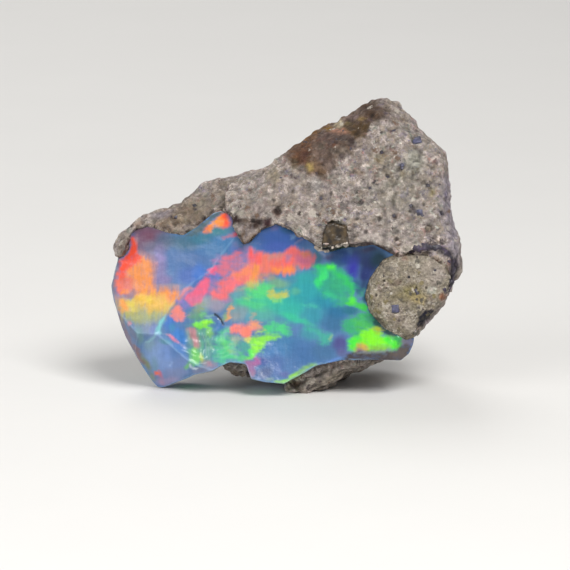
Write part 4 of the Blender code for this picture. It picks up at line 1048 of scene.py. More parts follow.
        (3.9, 10.3), (4.6, 10.25), (5.1, 10.05), (5.1, 9.75), (4.5, 9.7), (4.0, 9.85),
    ), 0.16, 0.8),
    Flash("#50c4a8", band(0.3, (1.8, 9.15), (2.6, 9.0), (3.4, 8.7)), 0.14, 0.7),
    Flash("#44b87c", ((5.2, 9.8), (6.2, 10.0), (6.4, 9.4), (6.0, 9.0), (5.3, 9.2)), 0.25, 0.7),
    Flash("#48d050", (
        (6.85, 10.5), (6.6, 9.9), (6.35, 9.4), (6.15, 9.1), (6.4, 8.85), (6.9, 8.85), (7.4, 8.75),
        (7.9, 8.45), (8.2, 8.25), (8.6, 8.1), (8.45, 8.6), (8.15, 9.05), (7.7, 9.25), (7.3, 9.45), (7.0, 9.8),
    ), 0.12, 0.95),
    Flash("#62ee4e", ((6.5, 9.6), (6.9, 9.8), (7.1, 9.3), (6.8, 9.0), (6.4, 9.1)), 0.14, 0.9, SOFT),
    Flash("#4aa67e", band(0.25, (7.3, 9.9), (7.7, 10.2), (8.1, 10.6)), 0.12, 0.7),
    Flash("#4cb89c", (
        (1.9, 7.5), (2.3, 7.1), (2.8, 6.7), (3.4, 6.35), (4.0, 6.15), (4.65, 6.05), (4.75, 5.7), (4.5, 5.3),
        (4.0, 5.05), (3.5, 5.1), (3.2, 5.4), (3.15, 5.9), (2.8, 6.3), (2.3, 6.5), (1.9, 6.8),
    ), 0.2, 0.8),
    Flash("#a4c084", band(0.2, (4.7, 6.0), (4.65, 5.7), (4.4, 5.4)), 0.1, 0.7),
    Flash("#40b470", (
        (5.75, 6.6), (6.1, 7.2), (6.6, 7.6), (7.2, 8.0), (7.8, 8.15), (8.4, 8.2), (8.7, 7.7), (8.6, 7.2),
        (8.9, 6.8), (8.4, 6.4), (7.8, 6.2), (7.3, 5.9), (6.9, 5.8), (6.5, 6.2), (6.0, 6.45),
    ), 0.2, 0.9),
    Flash("#56c452", ((7.2, 7.5), (8.2, 7.6), (8.6, 7.0), (8.2, 6.5), (7.4, 6.6)), 0.3, 0.75),
    Flash("#3c9864", ((8.0, 8.1), (8.6, 8.0), (8.8, 7.4), (8.3, 7.3)), 0.2, 0.7),
    Flash("#80f03c", (
        (7.3, 5.7), (7.6, 6.2), (8.1, 6.5), (8.7, 6.65), (9.4, 6.65), (9.85, 6.3), (9.95, 5.95), (10.3, 5.65),
        (10.6, 5.7), (11.1, 5.65), (11.7, 5.4), (12.0, 4.95), (11.6, 4.4), (11.0, 4.35), (10.4, 4.4),
        (9.8, 4.4), (9.2, 4.35), (8.6, 4.3), (8.3, 4.55), (8.0, 4.95), (7.5, 4.95), (7.1, 4.55), (6.8, 4.25),
        (6.55, 4.8), (6.55, 5.3), (6.9, 5.65),
    ), 0.14, 1.0),
    Flash("#4cec4c", (
        (6.5, 5.3), (7.1, 5.7), (7.6, 5.6), (7.4, 5.0), (7.0, 4.6), (6.6, 4.5),
    ), 0.2, 0.95, SOFT),
    Flash("#90fe32", (
        (8.1, 6.0), (8.8, 6.1), (9.7, 5.7), (10.2, 5.3), (9.4, 5.0), (8.4, 5.1),
    ), 0.3, 0.8, SOFT),
    Flash("#40f040", (
        (10.2, 5.5), (10.9, 5.55), (11.6, 5.2), (11.7, 4.6), (10.9, 4.6), (10.4, 4.9),
    ), 0.2, 0.95, SOFT),
    Flash("#8cb84e", (
        (8.6, 4.7), (9.6, 4.75), (10.6, 4.65), (10.9, 4.3), (9.6, 4.2), (8.7, 4.2),
    ), 0.15, 0.75),
    Flash("#b4b042", ((9.1, 6.65), (9.6, 6.75), (10.0, 6.4), (9.7, 6.1), (9.2, 6.2)), 0.16, 0.85),
    Flash("#d4b448", (
        (7.3, 4.95), (7.8, 5.0), (8.25, 4.8), (8.5, 4.4), (8.2, 4.1), (7.8, 4.3), (7.4, 4.6),
    ), 0.13, 0.92, SOFT),
    Flash("#b07c60", ((7.0, 4.6), (7.4, 4.7), (7.8, 4.3), (7.4, 4.1), (7.0, 4.2)), 0.14, 0.7, SOFT),
    Flash("#3ca45e", (
        (10.7, 5.5), (11.3, 5.7), (11.9, 5.9), (12.3, 5.4), (12.1, 5.0), (11.7, 4.9), (11.4, 5.2),
    ), 0.16, 0.9, SOFT),
    # The grey, see-through lip of the lower edge.
    Flash("#857b90", ((12.0, 5.7), (12.9, 5.8), (13.1, 5.0), (12.7, 4.5), (12.1, 4.8)), 0.12, 0.85),
    Flash("#4e443f", (
        (6.3, 3.9), (7.0, 4.15), (8.0, 4.05), (9.0, 4.2), (10.0, 4.2), (11.0, 4.25), (11.6, 4.3), (12.1, 4.7),
        (12.8, 4.9), (12.4, 3.4), (11.3, 3.0), (10.4, 3.2), (8.6, 3.3), (7.4, 3.2), (6.0, 3.3),
    ), 0.12, 0.95),
    Flash("#74665f", ((10.8, 4.1), (11.8, 4.4), (12.4, 4.5), (12.2, 3.7), (11.2, 3.4)), 0.2, 0.7),
    Flash("#8c9292", band(
        0.14, (6.9, 3.95), (7.8, 4.0), (8.8, 4.15), (10.0, 4.25), (11.2, 4.3),
    ), 0.07, 0.75, SOFT),
    # Painted shade first: a dark band on the opal along the rock's edge at the top left. Then painted
    # highlights: where the left facets meet, light gathers in a pale blue-green line.
    Flash("#53645f", (
        (-10.2, 16.2), (-9.4, 16.8), (-8.6, 17.5), (-7.8, 18.4), (-7.0, 18.9), (-6.5, 18.7), (-6.6, 18.35),
        (-7.2, 18.15), (-7.9, 17.5), (-8.5, 16.7), (-9.2, 16.3),
    ), 0.12, 0.85),
    Flash("#6a88b4", band(0.14, (-11.2, 9.3), (-11.6, 8.9), (-12.1, 8.4), (-12.6, 7.7)), 0.08, 0.7, SOFT),
    Flash("#80d2d2", band(
        0.32, (-12.5, 7.9), (-12.85, 7.2), (-13.05, 6.6), (-13.2, 6.1), (-13.3, 5.95),
    ), 0.1, 0.9, SOFT),
    Flash("#96c8d6", band(
        0.26, (-13.2, 6.15), (-13.5, 5.8), (-13.9, 5.4), (-14.2, 5.2), (-14.5, 5.2),
    ), 0.1, 0.85, SOFT),
    Flash("#b0e0f0", ((-13.4, 6.15), (-13.1, 6.2), (-13.1, 5.95), (-13.35, 5.9)), 0.08, 0.9, SOFT),
    # Tiny healed cracks and chips that scatter white, and two painted glints.
    Flash("#b4cefa", ((-11.95, 2.85), (-11.75, 2.9), (-11.75, 2.7), (-11.95, 2.7)), 0.07, 0.95, SOFT),
    Flash("#a4c0f2", ((-11.8, 3.15), (-11.6, 3.15), (-11.6, 2.97), (-11.8, 2.97)), 0.07, 0.9, SOFT),
    Flash("#ae9ed4", ((-13.2, 14.1), (-12.8, 14.1), (-12.6, 13.7), (-13.1, 13.7)), 0.14, 0.75, SOFT),
    Flash("#d09ca8", ((-13.6, 13.45), (-13.35, 13.45), (-13.35, 13.2), (-13.6, 13.2)), 0.1, 0.7, SOFT),
    Flash("#7ca4d0", ((0.6, 16.2), (1.0, 16.2), (1.0, 15.8), (0.65, 15.8)), 0.14, 0.8, SOFT),
    Flash("#8c8aac", band(0.2, (0.9, 15.2), (1.4, 15.5), (1.9, 15.85)), 0.08, 0.75, SOFT),
    # Painted highlight: a small light-blue glint below the crystal.
    Flash("#94a6cc", band(0.24, (3.25, 14.95), (3.5, 14.6), (3.9, 14.2)), 0.1, 0.75, SOFT),
    Flash("#6a5880", ((-1.5, 17.2), (-1.0, 17.2), (-1.0, 16.8), (-1.4, 16.8)), 0.12, 0.75, SOFT),
    Flash("#7c88ac", band(0.12, (-5.2, 15.0), (-4.4, 15.1), (-3.6, 15.3), (-2.8, 15.3)), 0.07, 0.7),
    Flash("#a8b8e2", band(0.2, (-3.2, 1.5), (-2.9, 1.5), (-2.6, 1.55)), 0.07, 0.85, SOFT),
    # Painted highlight: a bluish-white glint near the lower edge.
    Flash("#6c92dc", band(0.26, (4.3, 3.2), (4.9, 3.35), (5.6, 3.65)), 0.1, 0.8, SOFT),
)  # fmt: skip


@dataclass(frozen=True)
class PreciousOpal:
    """Precious opal, broken and left rough: milky blue hydrated silica whose packed spheres throw flashes.

    The eye gets a glassy skin over colour that seems to glow from inside; that glow is painted light, a weak
    emission of the colour itself.
    """

    rag_width: float = 0.36
    rib_width: float = 0.30
    body: str = "#5f84b4"
    sides: tuple[str, str] = ("#6f88ac", "#8f9cb4")
    # The pale ridge colour is partly real wear and partly painted highlight.
    ridge_wear_and_highlight: str = "#a3c3dc"
    crack: str = "#30343c"
    returned: float = 0.70  # share of the colour's light that comes back out of the stone
    # Painted light: how strongly the opal's own colour is emitted, though no lamp is inside it.
    painted_glow: float = 0.16
    loose: tuple[tuple[str, float, float], ...] = (
        ("#4ab78c", 11.0, 0.58),
        ("#8fdc50", 17.0, 0.65),
        ("#ef8a62", 29.0, 0.64),
        ("#e8779a", 41.0, 0.67),
    )  # colour, place in the noise and least level of the flashes away from the face

    def paint(self, seam: Skin) -> None:
        """Works out the play of colour at each point of the seam and keeps it on the mesh.

        Args:
            seam: The seam's finished skin.
        """
        lay_tints(seam, "play", linear(self.body), (*CLOUDS, *FLASHES), front=False)

    def streaks(self, tree: bpy.types.NodeTree, at: bpy.types.NodeSocket) -> dict[Torn, bpy.types.NodeSocket]:
        """Makes the fine streaks that run through the colours.

        Args:
            tree: The opal's node tree.
            at: The place in drawing millimetres.

        Returns:
            A pattern about zero for the upright ribs and one for the level wisps.
        """
        grains = {
            Torn.RIBBED: (1 / self.rib_width, 0.4, 0.45),
            Torn.WISPY: (0.95, 0.5, 1.0 / self.rag_width),
        }
        made = {}
        for torn, scale in grains.items():
            turn = math.radians(-14) if torn is Torn.WISPY else 0.0
            where = add_node(tree, "Mapping", {"Vector": at, "Scale": scale, "Rotation": (0.0, turn, 0.0)})
            detail = {"Vector": where, "Scale": 1.0, "Detail": 6.0, "Roughness": 0.66}
            value = add_node(tree, "TexNoise", detail, "Fac")
            made[torn] = add_node(tree, "MapRange", {"Value": value, 1: 0.25, 2: 0.75, 3: -0.8, 4: 0.8})
        return made

    def material(self) -> bpy.types.Material:
        """Builds the opal's material.

        Returns:
            The material.
        """
        made = blank_material("precious_opal_broken")
        tree = made.node_tree
        at = STONE.millimetres(tree)
        tears = self.streaks(tree, at)
        colour = add_node(tree, "Attribute", {}, "Color", attribute_name="play")
        sides = self.other_sides(tree, at, tears)
        facing = add_node(tree, "NewGeometry", {}, "Normal")
        outward = STONE.to_row().to_3x3().normalized() @ FRONT
        facing = add_node(tree, "VectorMath", {0: facing, 1: outward}, "Value", operation="DOT_PRODUCT")
        facing = add_node(tree, "Math", {0: tears[Torn.WISPY], 1: 0.08, 2: facing}, operation="MULTIPLY_ADD")
        turned = {"Value": facing, 1: 0.42, 2: 0.22}
        behind = add_node(tree, "MapRange", turned, interpolation_type="SMOOTHSTEP")
        colour = add_node(tree, "Mix", {0: behind, 6: colour, 7: sides}, 2, data_type="RGBA")

        for torn, least, most in ((Torn.RIBBED, 0.93, 1.06), (Torn.WISPY, 0.96, 1.03)):
            light = add_node(tree, "MapRange", {"Value": tears[torn], 1: -0.5, 2: 0.5, 3: least, 4: most})
            colour = add_node(tree, "VectorMath", {0: colour, 3: light}, operation="SCALE")
        colour = add_node(tree, "VectorMath", {0: colour, 3: self.returned}, operation="SCALE")
        # Pale ridges: partly real wear, partly painted highlight.
        marks = (("ridge", self.ridge_wear_and_highlight, 0.3, 0.22), ("crack", self.crack, 0.0, 1.0))
        for attribute, shade, least, most in marks:
            share = add_node(tree, "Attribute", {}, "Fac", attribute_name=attribute)
            share = add_node(tree, "MapRange", {"Value": share, 1: least, 4: most})
            colour = add_node(tree, "Mix", {0: share, 6: colour, 7: linear(shade)}, 2, data_type="RGBA")

        grit = add_node(tree, "TexNoise", {"Vector": at, "Scale": 3.5, "Detail": 4.0}, "Fac")
        rough = add_node(tree, "MapRange", {"Value": grit, 1: 0.35, 2: 0.75, 3: 0.10, 4: 0.30})
        waves = add_node(tree, "TexNoise", {"Vector": at, "Scale": 1.1, "Detail": 3.0}, "Fac")
        height = add_node(tree, "Math", {0: waves, 1: 0.6, 2: grit}, operation="MULTIPLY_ADD")
        bump = add_node(tree, "Bump", {"Height": height, "Strength": 0.14, "Distance": 0.0002})
        surface = {
            "Base Color": colour,
            "Roughness": rough,
            "IOR": 1.45,
            "Specular IOR Level": 0.3,
            "Coat Weight": 0.08,
            "Coat Roughness": 0.08,
            # Painted glow: the surface colour is emitted as well.
            "Emission Color": colour,
            "Emission Strength": self.painted_glow,
            "Normal": bump,
        }
        shader = add_node(tree, "BsdfPrincipled", surface)
        add_node(tree, "OutputMaterial", {"Surface": shader})
        return made

    def other_sides(
        self, tree: bpy.types.NodeTree, at: bpy.types.NodeSocket, tears: dict[Torn, bpy.types.NodeSocket]
    ) -> bpy.types.NodeSocket:
        """Colours the sides away from the face: the same milky blue, with looser flashes through its depth.

        Args:
            tree: The opal's node tree.
            at: The place in drawing millimetres.
            tears: The tearing patterns.

        Returns:
            The colour.
        """
        clouds = add_node(tree, "TexNoise", {"Vector": at, "Scale": 0.28, "Detail": 2.0}, "Fac")
        share = add_node(tree, "MapRange", {"Value": clouds, 1: 0.35, 2: 0.65})
        first, second = (linear(shade) for shade in self.sides)
        colour = add_node(tree, "Mix", {0: share, 6: first, 7: second}, 2, data_type="RGBA")
        for shade, offset, level in self.loose:
            place = {"Vector": at, "Location": (offset, offset, 0.0), "Scale": (0.22, 0.3, 0.4)}
            where = add_node(tree, "Mapping", place)
            patch = add_node(tree, "TexNoise", {"Vector": where, "Scale": 1.0, "Detail": 1.5}, "Fac")
            torn = {0: tears[Torn.WISPY], 1: 0.08, 2: patch}
            patch = add_node(tree, "Math", torn, operation="MULTIPLY_ADD")
            edge = {"Value": patch, 1: level, 2: level + 0.08}
            share = add_node(tree, "MapRange", edge, interpolation_type="SMOOTHSTEP")
            colour = add_node(tree, "Mix", {0: share, 6: colour, 7: linear(shade)}, 2, data_type="RGBA")
        return colour


@dataclass(frozen=True)
class Speck:
    """Grains of one mineral seen in a broken rock: their colour, size and how many of the cells show one."""

    colour: str
    spacing: float
    radius: float
    share: float
    seed: float


@dataclass(frozen=True)
class Stain(Cloud):
    """A soft discoloured oval on the rock, crumbled at its edge."""

    strength: float = 0.7
    torn: Torn = Torn.CRUMBLED


@dataclass(frozen=True)
class Mark(Flash):
    """A sharper discoloured place on the rock, drawn by its outline and crumbled at its edge."""

    soft: float = 0.14
    strength: float = 0.85
    torn: Torn = Torn.CRUMBLED


@dataclass(frozen=True)
class BrokenTuff:
    """Welded volcanic tuff, freshly broken: fused ash with grains of several minerals.

    The eye gets a dry, granular, matt surface speckled light and dark.
    """

    name: str
    light: str
    mid: str
    specks: tuple[Speck, ...]
    hues: tuple[str, ...]
    mottles: tuple[tuple[str, float, float], ...]  # colour, scale and least level of the noise
    tints: tuple[Tint, ...]
    grain: float = 0.42  # width of a grain in millimetres
    # Dark where the rock meets what it holds: partly a real dark rim, partly painted shade.
    lining_and_shade: str = "#35282a"
    # Painted shade: the colour the gas pits take where shade falls in them.
    shaded_pit: str = "#2f2623"
    weathered: str = "#857a70"
    lit: float = 0.79  # how light the whole rock is

    def paint(self, rock: Skin) -> None:
        """Keeps the stains, and the heights of the rock's small forms that the material turns into painted
        shade and light, on its mesh.

        Args:
            rock: The rock's finished skin.
        """
        lay_tints(rock, "stain", (0.0, 0.0, 0.0, 0.0), self.tints, front=True)
        # These heights drive painted shade in the hollows and painted light on the bumps.
        rock.store("proud", rock.proud(5))

    def material(self) -> bpy.types.Material:
        """Builds the rock's material.

        Returns:
            The material.
        """
        made = blank_material(self.name)
        tree = made.node_tree
        at = STONE.millimetres(tree)
        colour = self.fresh(tree, at)
        stain = add_node(tree, "Attribute", {}, "Color", attribute_name="stain")
        bare = add_node(tree, "Math", {0: 1.0, 1: stain.node.outputs["Alpha"]}, operation="SUBTRACT")
        colour = add_node(tree, "VectorMath", {0: colour, 3: bare}, operation="SCALE")
        colour = add_node(tree, "VectorMath", {0: colour, 1: stain}, operation="ADD")
        dust = {"Vector": at, "Scale": 3.4, "Detail": 4.0, "Roughness": 0.75}
        fine = add_node(tree, "TexNoise", dust, "Fac")
        colour = self.shaded(tree, at, fine, colour)
        colour = self.speckled(tree, at, colour)
        # The dark at the contacts is partly painted shade; the dark in the pits is painted shade.
        for attribute, shade, most in (("lining_and_shade", self.lining_and_shade, 0.9), ("shaded_pit", self.shaded_pit, 0.75)):
            share = add_node(tree, "Attribute", {}, "Fac", attribute_name=attribute)
            share = add_node(tree, "Math", {0: share, 1: fine}, operation="MULTIPLY")
            share = add_node(tree, "MapRange", {"Value": share, 1: 0.1, 2: 0.5, 4: most})
            colour = add_node(tree, "Mix", {0: share, 6: colour, 7: linear(shade)}, 2, data_type="RGBA")
        rough = add_node(tree, "MapRange", {"Value": fine, 3: 0.62, 4: 1.0})
        crumbs = add_node(tree, "TexVoronoi", {"Vector": at, "Scale": 1 / (0.7 * self.grain)}, "Distance")
        height = add_node(tree, "Math", {0: crumbs, 1: 0.6, 2: fine}, operation="MULTIPLY_ADD")
        bump = add_node(tree, "Bump", {"Height": height, "Strength": 0.9, "Distance": 0.0003})
        surface = {"Base Color": colour, "Roughness": rough, "Specular IOR Level": 0.35, "Normal": bump}
        shader = add_node(tree, "BsdfPrincipled", surface)
        add_node(tree, "OutputMaterial", {"Surface": shader})
        return made

    def fresh(self, tree: bpy.types.NodeTree, at: bpy.types.NodeSocket) -> bpy.types.NodeSocket:
        """Colours the fresh rock: broad patches, grains of several hues, and the weathered back.

        Args:
            tree: The rock's node tree.
            at: The place in drawing millimetres.

        Returns:
            The colour.
        """
        wide = {"Vector": at, "Scale": 0.42, "Detail": 4.0, "Roughness": 0.6}
        broad = add_node(tree, "TexNoise", wide, "Fac")
        share = add_node(tree, "MapRange", {"Value": broad, 1: 0.36, 2: 0.66})
        mix = {0: share, 6: linear(self.mid), 7: linear(self.light)}
        colour = add_node(tree, "Mix", mix, 2, data_type="RGBA")
        for number, (shade, scale, level) in enumerate(self.mottles):
            place = {"Vector": at, "Location": (7.0 * number, 3.0, -5.0 * number)}
            where = add_node(tree, "Mapping", place)
            patch = {"Vector": where, "Scale": scale, "Detail": 4.0, "Roughness": 0.65}
            patch = add_node(tree, "TexNoise", patch, "Fac")
            share = add_node(tree, "MapRange", {"Value": patch, 1: level, 2: level + 0.08, 4: 0.85})
            colour = add_node(tree, "Mix", {0: share, 6: colour, 7: linear(shade)}, 2, data_type="RGBA")
        ragged = add_node(tree, "TexNoise", {"Vector": at, "Scale": 2.6, "Detail": 2.0}, "Color")
        bent = add_node(tree, "VectorMath", {0: ragged, 1: (1.2,) * 3, 2: at}, operation="MULTIPLY_ADD")
        cells = add_node(tree, "TexVoronoi", {"Vector": bent, "Scale": 1 / self.grain}, "Color")
        kind = add_node(tree, "SeparateXYZ", {0: cells}, "X")
        for number, shade in enumerate(self.hues):
            start = 0.25 + 0.75 * number / len(self.hues)
            share = add_node(tree, "MapRange", {"Value": kind, 1: start, 2: start + 0.05, 4: 0.42})
            colour = add_node(tree, "Mix", {0: share, 6: colour, 7: linear(shade)}, 2, data_type="RGBA")
        depth = add_node(tree, "SeparateXYZ", {0: at}, "Y")
        depth = add_node(tree, "Math", {0: broad, 1: 12.0, 2: depth}, operation="MULTIPLY_ADD")
        share = add_node(tree, "MapRange", {"Value": depth, 1: 9.0, 2: 14.0, 4: 0.75})
        return add_node(tree, "Mix", {0: share, 6: colour, 7: linear(self.weathered)}, 2, data_type="RGBA")

    def shaded(
        self,
        tree: bpy.types.NodeTree,
        at: bpy.types.NodeSocket,
        fine: bpy.types.NodeSocket,
        colour: bpy.types.NodeSocket,
    ) -> bpy.types.NodeSocket:
        """Gives each grain its own lightness, and paints shade into the hollows and light on what stands
        proud.

        Args:
            tree: The rock's node tree.
            at: The place in drawing millimetres.
            fine: Fine noise over the rock.
            colour: The rock's colour.

        Returns:
            The shaded colour.
        """
        cells = add_node(tree, "TexVoronoi", {"Vector": at, "Scale": 1.5 / self.grain}, "Color")
        cells = add_node(tree, "SeparateXYZ", {0: cells}, "Y")
        light = add_node(tree, "MapRange", {"Value": cells, 3: 0.90 * self.lit, 4: 1.10 * self.lit})
        ash = {"Vector": at, "Scale": 1.5, "Detail": 5.0, "Roughness": 0.7}
        clots = add_node(tree, "TexNoise", ash, "Fac")
        clots = add_node(tree, "MapRange", {"Value": clots, 1: 0.34, 2: 0.66, 3: 0.76, 4: 1.24})
        light = add_node(tree, "Math", {0: light, 1: clots}, operation="MULTIPLY")
        spread = add_node(tree, "MapRange", {"Value": fine, 1: 0.32, 2: 0.68, 3: 0.78, 4: 1.22})
        light = add_node(tree, "Math", {0: light, 1: spread}, operation="MULTIPLY")
        # Painted shade and light: hollows fall to half their lightness, proud places rise by nearly a third.
        proud = add_node(tree, "Attribute", {}, "Fac", attribute_name="proud")
        proud = add_node(tree, "MapRange", {"Value": proud, 1: -0.06, 2: 0.06, 3: 0.50, 4: 1.30})
        light = add_node(tree, "Math", {0: light, 1: proud}, operation="MULTIPLY")
        return add_node(tree, "VectorMath", {0: colour, 3: light}, operation="SCALE")

    def speckled(
        self, tree: bpy.types.NodeTree, at: bpy.types.NodeSocket, colour: bpy.types.NodeSocket
    ) -> bpy.types.NodeSocket:
        """Strews the mineral grains over the rock.

        Args:
            tree: The rock's node tree.
            at: The place in drawing millimetres.
            colour: The rock's colour.

        Returns:
            The colour with its grains.
        """
        for speck in self.specks:
            place = {"Vector": at, "Location": (speck.seed, -speck.seed, 0.5 * speck.seed)}
            where = add_node(tree, "Mapping", place)
            bent = add_node(tree, "TexNoise", {"Vector": where, "Scale": 4.0, "Detail": 2.0}, "Fac")
            cells = {"Vector": where, "Scale": 1 / speck.spacing}
            far = add_node(tree, "TexVoronoi", cells, "Distance")
            kind = add_node(tree, "TexVoronoi", cells, "Color")
            kind = add_node(tree, "SeparateXYZ", {0: kind}, "Y")
            chosen = add_node(tree, "Math", {0: kind, 1: speck.share}, operation="LESS_THAN")
            far = add_node(tree, "Math", {0: bent, 1: 0.6, 2: far}, operation="MULTIPLY_ADD")
            size = speck.radius / speck.spacing + 0.3
            near = add_node(tree, "MapRange", {"Value": far, 1: size + 0.06, 2: size - 0.04, 3: 0.0, 4: 0.85})
            share = add_node(tree, "Math", {0: near, 1: chosen}, operation="MULTIPLY")
            mix = {0: share, 6: colour, 7: linear(speck.colour)}
            colour = add_node(tree, "Mix", mix, 2, data_type="RGBA")
        return colour


@dataclass(frozen=True)
class GlassyGrain:
    """A glassy mineral with broken faces, such as feldspar or pyroxene: light catches its flat faces."""

    name: str
    dark: str
    light: str
    roughness: float = 0.22
    vein: float = 1.2  # scale of its cloudy veins

    def material(self) -> bpy.types.Material:
        """Builds the mineral's material.

        Returns:
            The material.
        """
        made = blank_material(self.name)
        tree = made.node_tree
        at = STONE.millimetres(tree)
        cloud = add_node(tree, "TexNoise", {"Vector": at, "Scale": self.vein, "Detail": 4.0}, "Fac")
        share = add_node(tree, "MapRange", {"Value": cloud, 1: 0.38, 2: 0.64})
        mix = {0: share, 6: linear(self.dark), 7: linear(self.light)}
        colour = add_node(tree, "Mix", mix, 2, data_type="RGBA")
        grit = add_node(tree, "TexNoise", {"Vector": at, "Scale": 7.0, "Detail": 3.0}, "Fac")
        rough = add_node(tree, "MapRange", {"Value": grit, 3: self.roughness, 4: self.roughness + 0.25})
        bump = add_node(tree, "Bump", {"Height": grit, "Strength": 0.3, "Distance": 0.0001})
        surface = {"Base Color": colour, "Roughness": rough, "IOR": 1.53, "Normal": bump}
        shader = add_node(tree, "BsdfPrincipled", surface)
        add_node(tree, "OutputMaterial", {"Surface": shader})
        return made


# Hues of the fresh rock's face: green-grey in the middle, olive on the left lobe, lilac along the right edge.
ROCK_HUES = (
    Stain("#999585", 11.5, 21.0, 3.0, 3.2, 0, 0.4), Stain("#a2a696", 13.2, 23.8, 1.0, 1.2, 0, 0.5),
    Stain("#b4a8a0", 10.5, 17.0, 2.6, 1.6, 0, 0.35), Stain("#a5988e", 1.5, 20.5, 3.0, 2.0, 0, 0.3),
    Stain("#b1aba8", 3.0, 21.4, 0.6, 0.9, 0, 0.6), Stain("#93857f", -3.2, 19.0, 1.2, 0.8, 0, 0.7),
    Stain("#bdb5a6", -4.8, 18.5, 0.7, 0.35, -20, 0.75), Stain("#b9b0a8", -1.6, 18.0, 0.9, 0.35, -25, 0.7),
    Stain("#b8aba2", 0.6, 17.9, 1.0, 0.7, 0, 0.6), Stain("#7a6446", -10.5, 18.3, 3.6, 1.5, 20, 0.6),
    Stain("#9a93a0", -12.9, 18.4, 1.2, 0.35, 10, 0.6), Stain("#a79c8a", -8.6, 19.3, 0.8, 0.7, 0, 0.5),
    Stain("#9a8b6c", -1.3, 22.3, 0.8, 0.9, 0, 0.5), Stain("#9c8b66", 0.9, 23.7, 0.6, 0.6, 0, 0.7),
    Stain("#8d8067", -6.0, 21.7, 0.7, 0.3, 30, 0.5), Stain("#a39471", 9.8, 24.1, 0.6, 0.5, 0, 0.5),
    Stain("#988c5a", 15.0, 20.5, 0.35, 0.45, 0, 0.6), Stain("#8f8262", 12.0, 22.6, 0.3, 0.5, 0, 0.6),
    Stain("#c3b9aa", 12.6, 14.9, 1.0, 0.4, 12, 0.8), Stain("#c0b4ac", 9.3, 16.0, 1.6, 0.5, -12, 0.5),
    Stain("#7d6d62", -16.6, 15.3, 0.6, 1.4, -8, 0.8), Stain("#6f7a70", -16.1, 16.6, 0.3, 0.4, 0, 0.6),
    Stain("#a79d96", -14.4, 17.7, 0.5, 0.3, 20, 0.6), Stain("#8d7566", -15.3, 17.5, 0.6, 0.3, 20, 0.6),
    Mark("#958d9c", (
        (16.1, 22.2), (16.8, 22.6), (17.2, 20.0), (17.5, 17.0), (17.9, 13.4), (17.0, 14.0), (16.5, 16.4),
        (16.25, 18.5), (15.95, 20.6),
    ), 0.25, 0.65),
    # The pale strip at the far right edge (17.3, 16.4) is a painted highlight.
    Stain("#6f6480", 16.4, 20.4, 0.25, 0.5, 0, 0.6), Stain("#b8afb8", 17.3, 16.4, 0.2, 1.4, 5, 0.6),
    Stain("#b5aa9e", 4.9, 14.95, 1.6, 0.3, 8, 0.8), Stain("#a5a09c", 7.6, 15.35, 1.5, 0.22, 2, 0.6),
    Stain("#8f867c", 4.6, 1.3, 4.5, 1.4, 24, 0.6), Stain("#a89c8a", 4.8, 1.5, 1.6, 0.35, 24, 0.7),
    Stain("#a1968a", 2.8, 0.5, 1.2, 0.3, 15, 0.7), Stain("#645b58", 3.4, 2.1, 1.4, 0.4, 28, 0.5),
    Stain("#6b4d38", 0.9, 0.9, 0.7, 0.3, 0, 0.85), Stain("#3a2e26", 1.1, 0.5, 0.8, 0.2, -12, 0.85),
    Stain("#7c6a5a", -5.4, 1.7, 1.6, 0.7, -20, 0.7),
)  # fmt: skip
